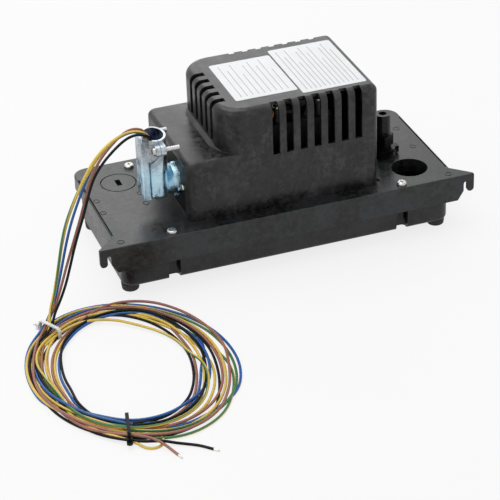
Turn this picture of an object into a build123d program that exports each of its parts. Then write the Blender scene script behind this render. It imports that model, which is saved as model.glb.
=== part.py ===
from build123d import *
import math
import os

# Low-profile condensate pump. Millimetres, +Z up, +X along the long side, -Y is the front.
# The origin is on the floor, below the middle of the lid.

# The row of works under the cover, from the fan at the right to the nipple at the left.
# The cover, the lid and the tank take their lengths from it.
MOTOR_X = 24.0
FAN_RADIUS = 31.0
FAN_RIGHT_GAP = 26.5
STACK_LEFT = 58.0
BOBBIN_WALL = 1.5
WINDING_DEPTH = 6.5
WINDING_SWITCH_GAP = 6.5
BRACKET_SHEET = 1.5
LEVER_WIDTH = 20.0
SWITCH_NIPPLE_GAP = 7.0
NIPPLE_INSIDE = 4.5
UPPER_BOX_GAP = 9.5
LID_PAST_COVER = 63.8
WINDING_LEFT = MOTOR_X - STACK_LEFT - WINDING_DEPTH - BOBBIN_WALL
ROD_X = WINDING_LEFT - WINDING_SWITCH_GAP - BRACKET_SHEET - LEVER_WIDTH / 2
COVER_LEFT = ROD_X - LEVER_WIDTH / 2 - SWITCH_NIPPLE_GAP - NIPPLE_INSIDE
COVER_RIGHT = MOTOR_X + FAN_RADIUS + FAN_RIGHT_GAP
UPPER_LEFT = WINDING_LEFT - UPPER_BOX_GAP

# Lid: a plate with a deep front flange, shallow skirts and a pair of hooked ears
LID_LENGTH = 2 * (COVER_RIGHT + LID_PAST_COVER)
LID_DEPTH = 135.4
LID_PLATE = 3.0
LID_TOP = 48.5
LID_CORNER = 12.0
LID_EDGE_ROUND = 0.8
SKIRT_WALL = 2.5
SKIRT_DROP = 11.5
FLANGE_DROP = 22.4
FLANGE_END_SLANT = 5.0
EAR_REACH = 14.9
EAR_SPAN = LID_LENGTH + 2 * EAR_REACH
EAR_GUSSET_RUN = 17.2
HOOK_WIDTH = 6.1
HOOK_DROP = 15.6
HOOK_NOTCH_WIDTH = 3.0
HOOK_NOTCH_TOP = 6.3
SLANT_START_DROP = 14.4
EDGE_GROOVE_WIDTH = 1.2
EDGE_GROOVE_DEPTH = 1.6
EDGE_GROOVE_INSET = 0.9
EDGE_GROOVE_END_GAP = 18.7
POCKET_GAP = 0.2
POCKET_WIDTH = 3.5
POCKET_LENGTH = 10.0
POCKET_FROM_FRONT = 17.7
POCKET_DEPTH = 1.5

# Tank: an open box with rounded corners and four moulded flutes below the lid screws
LID_OVERHANG_ENDS = 4.3
LID_OVERHANG_SIDES = 5.0
TANK_LENGTH = LID_LENGTH - 2 * LID_OVERHANG_ENDS
TANK_DEPTH = LID_DEPTH - 2 * LID_OVERHANG_SIDES
TANK_WALL = 2.5
TANK_CORNER = 9.0
TANK_BOTTOM_ROUND = 4.0
TANK_RIM_LIP = 1.3
TANK_RIM_HEIGHT = 3.0
FLUTE_WIDTH = 10.0
FLUTE_DEPTH = 8.0
FLUTE_ROUND = 3.0
SCREW_PAD_HEIGHT = 12.0
FOOT_HEIGHT = 6.3
FOOT_RADIUS = 7.5
FOOT_ROUND = 1.5
FOOT_INSET_X = 8.0
FOOT_INSET_Y = 10.5
GASKET = 1.0
TANK_RIB_HEIGHT = 2.0
TANK_RIB_WIDTH = 2.0

# Screws that hold the lid down, and the other small screws
LID_SCREW_PAST_COVER = 16.9
LID_SCREW_SPACING = 2 * (COVER_RIGHT + LID_SCREW_PAST_COVER)
LID_SCREW_FROM_FRONT = 6.6
LID_SCREW_FROM_BACK = 12.3
LID_SCREW_FRONT_Y = LID_SCREW_FROM_FRONT - LID_DEPTH / 2
LID_SCREW_BACK_Y = LID_DEPTH / 2 - LID_SCREW_FROM_BACK
LID_SCREW_CORE = 1.9
LID_SCREW_HEAD = 4.2
LID_SCREW_HEAD_HEIGHT = 2.6
LID_SCREW_LENGTH = 14.0
SMALL_SCREW_CORE = 1.4
SMALL_SCREW_HEAD = 2.8
SMALL_SCREW_HEAD_HEIGHT = 1.6
HOLE_CLEARANCE = 0.05
CROSS_SLOT_WIDTH = 0.9
CROSS_SLOT_DEPTH = 1.0

# Openings in the lid
INLET_FROM_END = 29.9
INLET_FROM_FRONT = 30.1
INLET_X = LID_LENGTH / 2 - INLET_FROM_END
INLET_Y = INLET_FROM_FRONT - LID_DEPTH / 2
INLET_RADIUS = 15.1
INLET_COLLAR_WALL = 1.8
INLET_COLLAR_DROP = 9.0
PLUG_FROM_END = 30.8
PLUG_FROM_BACK = 35.1
PLUG_X = PLUG_FROM_END - LID_LENGTH / 2
PLUG_Y = LID_DEPTH / 2 - PLUG_FROM_BACK
PLUG_RADIUS = 15.0
PLUG_CLEARANCE = 0.08
PLUG_FLANGE = 1.6
PLUG_SKIRT = 7.0
PLUG_WALL = 1.8
COIN_SLOT_LENGTH = 10.0
COIN_SLOT_WIDTH = 4.2
COIN_SLOT_DEPTH = 4.4
PLUG_STEP_WIDTH = 0.8
PLUG_STEP_DEPTH = 1.0
SEAL_RING = 1.0

# Motor cover: a wide lower box with a taller upper box on its right
COVER_SIDE_GAP = 14.0
COVER_DEPTH = LID_DEPTH - 2 * COVER_SIDE_GAP
COVER_WALL = 2.5
LEDGE_HEIGHT = 52.0
COVER_HEIGHT = 90.0
LOWER_CORNER = 8.0
UPPER_CORNER = 24.0
RIGHT_CORNER = 6.0
COVER_TOP_ROUND = 6.0
LEDGE_ROUND = 4.0
LEDGE_BEAD = 3.0
VENT_WIDTH = 6.0
VENT_COUNT = 7
VENT_PAST_CORNER = 21.3
VENT_LAST_FROM_RIGHT = 17.5
VENT_FIRST_X = UPPER_LEFT + UPPER_CORNER + VENT_PAST_CORNER
VENT_PITCH = (COVER_RIGHT - VENT_LAST_FROM_RIGHT - VENT_FIRST_X) / (VENT_COUNT - 1)
VENT_BOTTOM = 46.4
VENT_REACH = 6.6
END_VENT_COUNT = 5
END_VENT_PAST_CORNER = 5.1
END_VENT_PITCH = (COVER_DEPTH - 2 * (UPPER_CORNER + END_VENT_PAST_CORNER)) / (END_VENT_COUNT - 1)
END_VENT_MIDDLE = -3.9
END_VENT_REACH = 11.5
END_VENT_BOTTOM = 56.5
COVER_BOSS_RADIUS = 4.5
COVER_BOSS_HEIGHT = 26.0
COVER_BOSS_INSET = 6.4
COVER_SCREW_LENGTH = 16.0
LOCATOR_HEIGHT = 2.5
LOCATOR_WALL = 1.8
LOCATOR_GAP = 0.3

# Wiring panel in the left face of the cover, which carries the conduit elbow
PANEL_FROM_FRONT = 29.7
PANEL_Y = PANEL_FROM_FRONT - COVER_DEPTH / 2
PANEL_WIDTH = 43.4
PANEL_BOTTOM = 53.0
PANEL_TOP = 94.5
PANEL_THICKNESS = 1.6
PANEL_LAP = 3.5
PANEL_GAP = 0.25
PANEL_SCREW_Z = 75.0
PANEL_SCREW_INSET = 3.8

# Conduit elbow: a zinc body and its strap, held by two screws, a threaded nipple and a locknut
ELBOW_Y = PANEL_Y
ELBOW_Z = 74.5
NIPPLE_RADIUS = 10.8
NIPPLE_BORE = 8.6
LOCKNUT_RADIUS = 14.0
LOCKNUT_THICKNESS = 3.2
LOCKNUT_LUGS = 6
ELBOW_BOTTOM = ELBOW_Z - NIPPLE_RADIUS
BARREL_RADIUS = 12.2
BARREL_DROP = 0.35
BARREL_RIM = 1.5
NECK_RADIUS = 7.4
NECK_BORE = 5.6
MOUTH_OUT = 17.0
MOUTH_X = COVER_LEFT - MOUTH_OUT
MOUTH_TOP = 118.0
MOUTH_WIDTH = 19.0
MOUTH_DEPTH = 26.0
HEEL_ROUND = 5.0
ELBOW_WALL = 1.9
ELBOW_FLOOR = 2.2
ELBOW_SPLIT_GAP = 0.4
SPLIT_LOW_OUT = 7.2
SPLIT_LOW_TOP = 97.2
SPLIT_HIGH_BOTTOM = 104.0
STRAP_OUT = 13.0
STRAP_HALF_WIDTH = 9.5
STRAP_END_GAP = 1.3
STRAP_ROUND = 2.5
STRAP_DIMPLE = 1.3
SIDE_PLATE_DEPTH = 7.0
SIDE_PLATE_PROUD = 0.3
SIDE_PLATE_TOP_OUT = 3.6
SIDE_PLATE_LOW_OUT = 0.9
SIDE_PLATE_LOW_TOP = 81.5
SIDE_PLATE_BOTTOM = 69.0
CLAMP_EAR_Z = 111.0
CLAMP_EAR_HEIGHT = 9.0
CLAMP_EAR_REACH = 7.0
CLAMP_EAR_LEFT = 4.1
CLAMP_EAR_RIGHT = 4.4
CLAMP_SCREW_CORE = 1.9
CLAMP_SCREW_HEAD = 3.4
CLAMP_SCREW_HEAD_HEIGHT = 2.2
CLAMP_SCREW_LENGTH = 19.9
BUSHING_HEIGHT = 3.0

# Motor: shaft axis, stack of laminations with one wound leg, brackets, bearings and fan
MOTOR_Y = 0.0
SHAFT_RADIUS = 2.5
SHAFT_BOTTOM = 20.0
ROTOR_RADIUS = 15.6
AIR_GAP = 0.4
STACK_BOTTOM = 83.0
STACK_HEIGHT = 24.0
SHAFT_ABOVE_STACK = 26.0
SHAFT_TOP = STACK_BOTTOM + STACK_HEIGHT + SHAFT_ABOVE_STACK
STACK_HALF_DEPTH = 29.0
STACK_RIGHT = 28.0
STACK_LEG = 12.0
STACK_LIMB = 11.0
WINDING_CORNER = 3.0
BOLT_SPACING_X = 36.0
BOLT_SPACING_Y = 44.0
BOLT_RADIUS = 2.0
BOLT_HEAD = 3.6
BOLT_HEAD_HEIGHT = 2.4
BRACKET_STANDOFF = 9.5
BRACKET_PLATE = 2.5
BRACKET_ARM = 8.0
BRACKET_PAD = 5.0
BEARING_RADIUS = 6.0
BEARING_HEIGHT = 9.0
BEARING_CUP_WALL = 2.5
RUNNING_CLEARANCE = 0.03
POST_RADIUS = 5.0
FAN_PLATE = 1.5
FAN_BLADE_HEIGHT = 6.5
FAN_BLADES = 9
FAN_HUB = 6.5

# Pump end below the lid: volute, intake cover, impeller, shaft bush and discharge tube
VOLUTE_RADIUS = 28.0
VOLUTE_OFFSET = 2.0
VOLUTE_WALL = 2.2
VOLUTE_TOP = 36.0
VOLUTE_BOTTOM = 18.0
INTAKE_PLATE = 2.4
INTAKE_EYE = 8.0
INTAKE_LEGS = 8
INTAKE_LEG_HEIGHT = 4.0
IMPELLER_RADIUS = 22.0
IMPELLER_BLADES = 6
IMPELLER_PLATE = 1.8
IMPELLER_HUB = 5.0
IMPELLER_CLEARANCE = 1.2
BLADE_THICKNESS = 1.4
VOLUTE_LUG_RADIUS = 4.0
VOLUTE_LUG_REACH = 34.5
VOLUTE_LUGS = 3
BUSH_RADIUS = 8.0
BUSH_FLANGE = 10.0
BUSH_FLANGE_HEIGHT = 2.0
TUBE_RADIUS = 6.2
TUBE_BORE = 4.4
TUBE_Z = 26.5
TUBE_BEND = 11.0

# Check valve on the lid, to the right of the cover
VALVE_INSIDE_INLET = 11.4
VALVE_BEHIND_INLET = 29.6
VALVE_X = INLET_X - VALVE_INSIDE_INLET
VALVE_Y = INLET_Y + VALVE_BEHIND_INLET
VALVE_STEM = 6.6
VALVE_FLANGE = 9.4
VALVE_FLANGE_HEIGHT = 3.2
VALVE_NECK_HEIGHT = 6.5
VALVE_COLLAR_SIDE = 13.6
VALVE_COLLAR_CORNER = 1.0
VALVE_COLLAR_TURN = 34.0
VALVE_COLLAR_HEIGHT = 10.0
VALVE_CAVITY = 5.8
VALVE_SEAT_BORE = 4.0
SPIGOT_RADIUS = 6.4
SPIGOT_TOP = 87.0
SPIGOT_BORE = 3.2
POPPET_RADIUS = 5.2
POPPET_THICKNESS = 2.0
POPPET_STEM = 1.2
POPPET_LIFT = 3.0
POPPET_GUIDE_LENGTH = 2.0
POPPET_STEM_PAST_GUIDE = 0.5
SPIGOT_PLUG_DEPTH = 4.0
CLIP_THICKNESS = 2.6
CLIP_RADIUS = 10.5
CLIP_GAP = 0.25
CLIP_TAIL = 13.5
CLIP_TAIL_WIDTH = 6.0
CLIP_TAIL_DROP = 1.0

# Float, switch lever and the two switches
ROD_Y = 22.0
ROD_RADIUS = 2.0
ROD_TOP = 62.0
FLOAT_LENGTH = 62.0
FLOAT_WIDTH = 60.0
FLOAT_HEIGHT = 13.0
FLOAT_CORNER = 8.0
FLOAT_LEFT_OF_ROD = 12.0
FLOAT_AHEAD_OF_ROD = 10.0
FLOAT_CENTRE_X = ROD_X - FLOAT_LEFT_OF_ROD
FLOAT_CENTRE_Y = ROD_Y - FLOAT_AHEAD_OF_ROD
FLOAT_FLOOR_GAP = 0.3
FLOAT_HUB = 5.0
FLOAT_HUB_HEIGHT = 3.0
GUIDE_WALL = 2.5
GUIDE_DROP = 5.0
GUIDE_RISE = 5.0
LEVER_THICKNESS = 1.5
LEVER_ARM = 34.0
LEVER_TIP = 4.0
LEVER_LIFT_GAP = 0.3
PIN_RADIUS = 1.5
PIN_EYE = 3.0
SWITCH_WIDTH = 6.5
SWITCH_LENGTH = 23.0
SWITCH_HEIGHT = 15.0
SWITCH_GAP_ABOVE_LEVER = 2.6
SWITCH_PLUNGER_FROM_PIVOT = 4.0
SWITCH_NOSE = 1.6
SWITCH_TERMINAL_LENGTH = 5.0
SWITCH_TERMINAL_WIDTH = 3.0
SWITCH_TERMINAL_THICKNESS = 0.8
PLUNGER_WIDTH = 2.6
RUN_PLUNGER_REACH = 2.4
OVERFLOW_PLUNGER_REACH = 1.4
PLUNGER_INSIDE = 3.0
SWITCH_FOOT = 12.0

# Free wires: five leads of one size that leave the elbow, lie in a loose coil and end bare
WIRE_DIAMETER = 2.2
WIRE_START_HEIGHT = 108.0
LEAD_GAP = 0.3
LEAD_PITCH = WIRE_DIAMETER + LEAD_GAP
# The leads leave side by side, each in its own place across
LEAD_SHIFTS = {
    "wire_blue": -2.0,
    "wire_brown": -1.0,
    "wire_yellow": 0.0,
    "wire_green": 1.0,
    "wire_black": 2.0,
}
# Each point of a lead is the way out from the mouth, the way across and the height
LEAD_ROUTES = {
    "wire_blue": [
        (0.0, 0.0, 108.0), (0.0, 0.0, 112.5), (1.2, 0.0, 116.8), (3.6, 0.0, 120.6), (9.0, 0.0, 125.3),
        (19.2, 0.0, 129.6), (29.0, 0.0, 130.2), (39.9, 0.0, 128.2), (49.6, 0.0, 124.0), (57.5, 0.0, 118.0),
        (66.3, 0.0, 107.1), (71.9, 0.0, 98.3), (78.6, 0.0, 87.2), (85.3, 0.0, 76.0), (91.0, 0.0, 63.9),
        (95.5, 0.0, 52.0), (100.0, 0.0, 39.0), (105.8, 0.0, 27.4), (113.0, 0.0, 18.4), (121.6, 4.0, 11.6),
        (125.6, 8.4, 6.9), (127.6, 13.6, 4.6),
    ],
    "wire_brown": [
        (1.0, 0.0, 108.0), (1.0, 0.0, 112.2), (3.2, 0.0, 116.9), (8.8, 0.0, 124.2), (16.7, 0.0, 128.5),
        (24.6, 0.0, 129.7), (31.5, 0.0, 128.3), (38.5, 0.0, 125.6), (46.8, 0.0, 121.5), (54.6, 0.0, 116.4),
        (60.4, 0.0, 110.6), (65.6, 0.0, 103.2), (70.0, 0.0, 94.9), (74.3, 0.0, 85.6), (79.0, 0.0, 75.4),
        (84.7, 0.0, 64.2), (90.7, 0.0, 52.6), (97.0, 0.0, 40.3), (104.0, 0.0, 28.8), (112.0, 0.0, 19.2),
        (121.6, 4.0, 11.6), (125.6, 8.4, 6.9), (127.6, 13.6, 4.6),
    ],
    "wire_yellow": [
        (2.0, 0.0, 108.0), (2.0, 0.0, 112.2), (4.6, 0.0, 117.2), (8.9, 0.0, 122.0), (14.4, 0.0, 125.8),
        (23.0, 0.0, 129.3), (33.5, 0.0, 130.0), (43.5, 0.0, 128.2), (52.5, 0.0, 124.6), (60.5, 0.0, 119.6),
        (67.5, 0.0, 113.2), (73.5, 0.0, 105.6), (79.0, 0.0, 97.8), (84.5, 0.0, 89.7), (90.0, 0.0, 80.2),
        (95.3, 0.0, 69.4), (100.2, 0.0, 57.4), (104.8, 0.0, 44.5), (110.0, 0.0, 32.0), (115.6, 0.0, 21.2),
        (121.6, 4.0, 11.6), (125.6, 8.4, 6.9), (127.6, 13.6, 4.6),
    ],
    "wire_green": [
        (2.5, 0.0, 108.0), (2.5, 0.0, 112.2), (5.4, 0.0, 117.4), (9.3, 0.0, 121.6), (16.1, 0.0, 126.6),
        (25.3, 0.0, 130.8), (35.9, 0.0, 132.0), (46.7, 0.0, 130.4), (56.2, 0.0, 127.1), (63.9, 0.0, 122.6),
        (71.0, 0.0, 116.7), (77.6, 0.0, 109.6), (83.6, 0.0, 102.2), (89.2, 0.0, 94.9), (94.8, 0.0, 86.8),
        (100.2, 0.0, 76.6), (104.7, 0.0, 64.2), (108.6, 0.0, 50.2), (112.6, 0.0, 36.6), (117.2, 0.0, 23.4),
        (121.6, 4.0, 11.6), (125.6, 8.4, 6.9), (127.6, 13.6, 4.6),
    ],
    "wire_black": [
        (3.0, 0.0, 108.0), (3.0, 0.0, 112.2), (5.6, 0.0, 117.2), (9.5, 0.0, 121.2), (14.8, 0.0, 124.4),
        (21.1, 0.0, 127.5), (29.1, 0.0, 128.7), (36.4, 0.0, 127.6), (44.4, 0.0, 124.9), (54.0, 0.0, 120.3),
        (61.6, 0.0, 115.4), (67.9, 0.0, 109.6), (72.5, 0.0, 102.4), (77.0, 0.0, 92.7), (81.6, 0.0, 82.4),
        (86.4, 0.0, 73.0), (91.6, 0.0, 62.8), (96.0, 0.0, 53.0), (100.4, 0.0, 41.8), (106.6, 0.0, 29.8),
        (113.8, 0.0, 19.6), (121.6, 4.0, 11.6), (125.6, 8.4, 6.9), (127.6, 13.6, 4.6),
    ],
}
LEAD_DIRECTION = -153.66
COIL_X = -165.0
COIL_Y = -166.0
COIL_TILT = 10.4
HOLE_X = -174.0
HOLE_Y = -160.0
HOLE_HALF_X = 51.0
HOLE_HALF_Y = 72.0
COIL_BAND = 27.0
COIL_HALF_X = HOLE_HALF_X + COIL_BAND
COIL_HALF_Y = HOLE_HALF_Y + COIL_BAND
COIL_HEIGHT = 8.4
COIL_ROUND = 2.5
TAIL_ROUTES = {
    "tail_black": [
        (-191.9, -257.8, 4.4),
        (-183.8, -259.5, 2.6),
        (-173.5, -262.6, 1.2),
        (-165.9, -266.4, 1.3),
        (-158.2, -270.1, 1.2),
        (-150.8, -275.0, 1.3),
        (-145.3, -280.7, 1.2),
        (-140.7, -286.3, 1.2),
    ],
    "tail_brown": [
        (-183.4, -254.1, 5.6),
        (-179.9, -259.5, 5.0),
        (-176.1, -264.7, 3.8),
        (-172.6, -269.7, 2.2),
        (-169.7, -275.6, 1.3),
        (-167.1, -282.4, 1.2),
    ],
}
TIE_WIDTH = 2.6
TIE_THICKNESS = 1.1
TIE_HEAD = 5.2
TIE_TAIL = 3.0
TIE_HEAD_DEPTH = 3.0
TIE_HEAD_DROP = 1.3
WHITE_TIE_ANGLE = 119.5
BLACK_TIE_ANGLE = -103.0

# Leads inside the cover
INNER_LEAD_RADIUS = 1.2

# Places that follow from the sizes above
LID_UNDER = LID_TOP - LID_PLATE
RIM_TOP = LID_UNDER - GASKET
TANK_FLOOR = FOOT_HEIGHT + TANK_WALL
LID_FRONT = -LID_DEPTH / 2
COVER_TOP = LID_TOP + COVER_HEIGHT
LEDGE_TOP = LID_TOP + LEDGE_HEIGHT
STACK_TOP = STACK_BOTTOM + STACK_HEIGHT
LOWER_BRACKET_Z = STACK_BOTTOM - BRACKET_STANDOFF - BRACKET_PLATE
UPPER_BRACKET_Z = STACK_TOP + BRACKET_STANDOFF
BOLT_PLACES = [
    (MOTOR_X + sx * BOLT_SPACING_X / 2, MOTOR_Y + sy * BOLT_SPACING_Y / 2)
    for sx in (-1, 1)
    for sy in (-1, 1)
]
LID_SCREW_PLACES = [
    (sx * LID_SCREW_SPACING / 2, y) for sx in (-1, 1) for y in (LID_SCREW_FRONT_Y, LID_SCREW_BACK_Y)
]
COVER_BOSS_PLACES = [
    (x, sy * (COVER_DEPTH / 2 - COVER_BOSS_INSET))
    for x in (COVER_LEFT + COVER_BOSS_INSET, COVER_RIGHT - COVER_BOSS_INSET)
    for sy in (-1, 1)
]
FOOT_PLACES = [
    (sx * (TANK_LENGTH / 2 - FOOT_INSET_X), sy * (TANK_DEPTH / 2 - FOOT_INSET_Y))
    for sx in (-1, 1)
    for sy in (-1, 1)
]
PIVOT_Y = ROD_Y - LEVER_ARM
LEVER_BOTTOM = ROD_TOP + LEVER_LIFT_GAP
LEVER_TOP = LEVER_BOTTOM + LEVER_THICKNESS
PIVOT_Z = LEVER_BOTTOM + LEVER_THICKNESS / 2
SWITCH_BOTTOM = LEVER_TOP + SWITCH_GAP_ABOVE_LEVER
PLUNGER_Y = PIVOT_Y + SWITCH_PLUNGER_FROM_PIVOT
SWITCH_FRONT = PLUNGER_Y + SWITCH_NOSE
SWITCH_XS = {
    "run_switch": ROD_X - LEVER_WIDTH / 2 + SWITCH_WIDTH / 2,
    "overflow_switch": ROD_X + LEVER_WIDTH / 2 - SWITCH_WIDTH / 2,
}
SWITCH_PLATE_X = ROD_X + LEVER_WIDTH / 2
TUBE_ANGLE = math.degrees(
    math.atan2(VALVE_Y - MOTOR_Y, VALVE_X - MOTOR_X)
    + math.asin((VOLUTE_RADIUS - TUBE_RADIUS) / math.hypot(VALVE_X - MOTOR_X, VALVE_Y - MOTOR_Y))
)


def block(x0, x1, y0, y1, z0, z1):
    """A box between two corners."""
    middle = Location(((x0 + x1) / 2, (y0 + y1) / 2, (z0 + z1) / 2))
    return middle * Box(x1 - x0, y1 - y0, z1 - z0)


def post(x, y, z0, z1, radius):
    """An upright round bar."""
    return Location((x, y, (z0 + z1) / 2)) * Cylinder(radius, z1 - z0)


def bar_x(x0, x1, y, z, radius):
    """A round bar along X."""
    return Location(((x0 + x1) / 2, y, z), (0, 90, 0)) * Cylinder(radius, x1 - x0)


def rounded_plate(x0, x1, y0, y1, z0, z1, corner):
    """An upright prism with four equal rounded corners."""
    outline = Location(((x0 + x1) / 2, (y0 + y1) / 2, z0)) * RectangleRounded(x1 - x0, y1 - y0, corner)
    return extrude(outline, z1 - z0)


def pan_screw(x, y, seat, core, length, head, head_height):
    """A pan-head screw that points down, with a cross recess in its head."""
    screw = post(x, y, seat - length, seat, core)
    cap = post(x, y, seat, seat + head_height, head)
    cap = fillet(cap.edges().sort_by(Axis.Z)[-1], head_height * 0.6)
    slot_floor = seat + head_height - CROSS_SLOT_DEPTH
    slot_reach = head * 0.55
    half = CROSS_SLOT_WIDTH / 2
    cap -= block(x - slot_reach, x + slot_reach, y - half, y + half, slot_floor, seat + head_height)
    cap -= block(x - half, x + half, y - slot_reach, y + slot_reach, slot_floor, seat + head_height)
    return screw + cap


def curved_blade(inner, outer, thickness, z0, z1, bow):
    """An upright blade, bowed backwards, from a hub radius out to a tip radius."""
    ring = post(0, 0, z0, z1, bow + thickness / 2) - post(0, 0, z0, z1, bow - thickness / 2)
    ring = Location(((inner + outer) / 2, -bow * 0.8, 0)) * ring
    band = post(0, 0, z0, z1, outer) - post(0, 0, z0, z1, inner)
    return ring & band & block(0, outer, -outer * 0.55, outer, z0, z1)


def tube_along(points, radii, radius):
    """A round wire of straight runs and tangent arcs."""
    path = FilletPolyline(*points, radius=radii)
    start = path @ 0
    section = Plane(origin=start, z_dir=path % 0) * Circle(radius)
    return sweep(section, path=path)


def corner_radii(points):
    """The largest arc that each corner's two runs allow."""
    radii = []
    for before, here, after in zip(points, points[1:], points[2:]):
        run_in = Vector(*here) - Vector(*before)
        run_out = Vector(*after) - Vector(*here)
        half_turn = math.radians(run_in.get_angle(run_out)) / 2
        radii.append(0.45 * min(run_in.length, run_out.length) / math.tan(half_turn))
    return radii


# Tank, feet and gasket


def flute_cut(x, side, grow, z0, z1):
    """The upright flute in the tank's long wall below a lid screw."""
    wall = side * TANK_DEPTH / 2
    half = FLUTE_WIDTH / 2 + grow
    inner = wall - side * (FLUTE_DEPTH + grow)
    y0, y1 = sorted((inner, wall + side * TANK_WALL))
    cut = block(x - half, x + half, y0, y1, z0, z1)
    upright = [e for e in cut.edges().filter_by(Axis.Z) if abs(e.center().Y - inner) < 0.01]
    return fillet(upright, min(FLUTE_ROUND, half * 0.9))


def tank():
    half_x = TANK_LENGTH / 2
    half_y = TANK_DEPTH / 2
    outside = rounded_plate(-half_x, half_x, -half_y, half_y, FOOT_HEIGHT, RIM_TOP, TANK_CORNER)
    outside = fillet(outside.faces().sort_by(Axis.Z)[0].edges(), TANK_BOTTOM_ROUND)
    lip = rounded_plate(
        -half_x - TANK_RIM_LIP,
        half_x + TANK_RIM_LIP,
        -half_y - TANK_RIM_LIP,
        half_y + TANK_RIM_LIP,
        RIM_TOP - TANK_RIM_HEIGHT,
        RIM_TOP,
        TANK_CORNER + TANK_RIM_LIP,
    )
    inside = rounded_plate(
        -half_x + TANK_WALL,
        half_x - TANK_WALL,
        -half_y + TANK_WALL,
        half_y - TANK_WALL,
        TANK_FLOOR,
        RIM_TOP,
        TANK_CORNER - TANK_WALL,
    )
    inside = fillet(inside.faces().sort_by(Axis.Z)[0].edges(), TANK_BOTTOM_ROUND - TANK_WALL)
    pad_bottom = RIM_TOP - SCREW_PAD_HEIGHT
    for x, y in LID_SCREW_PLACES:
        side = math.copysign(1, y)
        inside -= flute_cut(x, side, TANK_WALL, TANK_FLOOR, RIM_TOP)
    shell = outside + lip
    for x, y in LID_SCREW_PLACES:
        side = math.copysign(1, y)
        wall = side * half_y
        shell -= flute_cut(x, side, 0.0, FOOT_HEIGHT, pad_bottom)
        outer = wall + side * (LID_DEPTH / 2 - half_y - SKIRT_WALL - HOOK_NOTCH_WIDTH * 0.1)
        y0, y1 = sorted((wall - side * FLUTE_DEPTH, outer))
        half = FLUTE_WIDTH / 2 + TANK_WALL
        shell += block(x - half, x + half, y0, y1, pad_bottom, RIM_TOP)
    shell -= inside
    for x, y in LID_SCREW_PLACES:
        shell -= post(x, y, pad_bottom - 1, RIM_TOP, LID_SCREW_CORE + HOLE_CLEARANCE)
    rib_reach = half_y - TANK_CORNER - FLUTE_DEPTH
    for x in (-TANK_LENGTH / 8, TANK_LENGTH / 4):
        half = TANK_RIB_WIDTH / 2
        shell += block(x - half, x + half, -rib_reach, rib_reach, TANK_FLOOR, TANK_FLOOR + TANK_RIB_HEIGHT)
    return shell


def rubber_feet():
    feet = []
    for x, y in FOOT_PLACES:
        foot = Location((x, y, FOOT_HEIGHT / 2)) * Cone(FOOT_RADIUS - 0.6, FOOT_RADIUS, FOOT_HEIGHT)
        feet.append(fillet(foot.edges().sort_by(Axis.Z)[0], FOOT_ROUND))
    return Compound(children=feet)


def tank_gasket():
    half_x = TANK_LENGTH / 2
    half_y = TANK_DEPTH / 2
    inner = TANK_WALL
    ring = rounded_plate(-half_x, half_x, -half_y, half_y, RIM_TOP, LID_UNDER, TANK_CORNER)
    ring -= rounded_plate(
        -half_x + inner, half_x - inner, -half_y + inner, half_y - inner, RIM_TOP, LID_UNDER, TANK_CORNER - inner
    )
    for x, y in LID_SCREW_PLACES:
        ring += post(x, y, RIM_TOP, LID_UNDER, LID_SCREW_HEAD - 0.6)
        ring -= post(x, y, RIM_TOP, LID_UNDER, LID_SCREW_CORE + HOLE_CLEARANCE)
    return ring


# Lid


def front_flange():
    """The front flange with its two hooked ears, drawn in the XZ plane."""
    ear = EAR_SPAN / 2
    top = LID_TOP
    hook_inner = ear - HOOK_WIDTH
    notch_inner = hook_inner - HOOK_NOTCH_WIDTH
    foot = notch_inner - FLANGE_END_SLANT
    right = [
        (ear, top),
        (ear, top - HOOK_DROP),
        (hook_inner, top - HOOK_DROP),
        (hook_inner, top - HOOK_NOTCH_TOP),
        (notch_inner, top - HOOK_NOTCH_TOP),
        (notch_inner, top - SLANT_START_DROP),
        (foot, top - FLANGE_DROP),
    ]
    left = [(-x, z) for x, z in reversed(right)]
    outline = Plane.XZ * make_face(Polyline(*right, *left, close=True))
    flange = extrude(outline, SKIRT_WALL, dir=(0, 1, 0))
    across = flange.edges().filter_by(Axis.Y)
    tips = [e for e in across if abs(e.center().Z - top + HOOK_DROP) < 0.01]
    notches = [e for e in across if abs(e.center().Z - top + HOOK_NOTCH_TOP) < 0.01]
    flange = fillet(tips, HOOK_WIDTH * 0.47)
    across = flange.edges().filter_by(Axis.Y)
    notches = [e for e in across if abs(e.center().Z - top + HOOK_NOTCH_TOP) < 0.01]
    flange = fillet(notches, HOOK_NOTCH_WIDTH * 0.47)
    return Location((0, LID_FRONT, 0)) * flange


def lid_plan(grow, z0, z1):
    """The lid's outline: square front corners and rounded back corners, grown or shrunk."""
    half_x = LID_LENGTH / 2 + grow
    front = LID_FRONT - grow
    back = LID_DEPTH / 2 + grow
    plate = block(-half_x, half_x, front, back, z0, z1)
    corners = [e for e in plate.edges().filter_by(Axis.Z) if e.center().Y > 0]
    return fillet(corners, LID_CORNER + grow)


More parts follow.
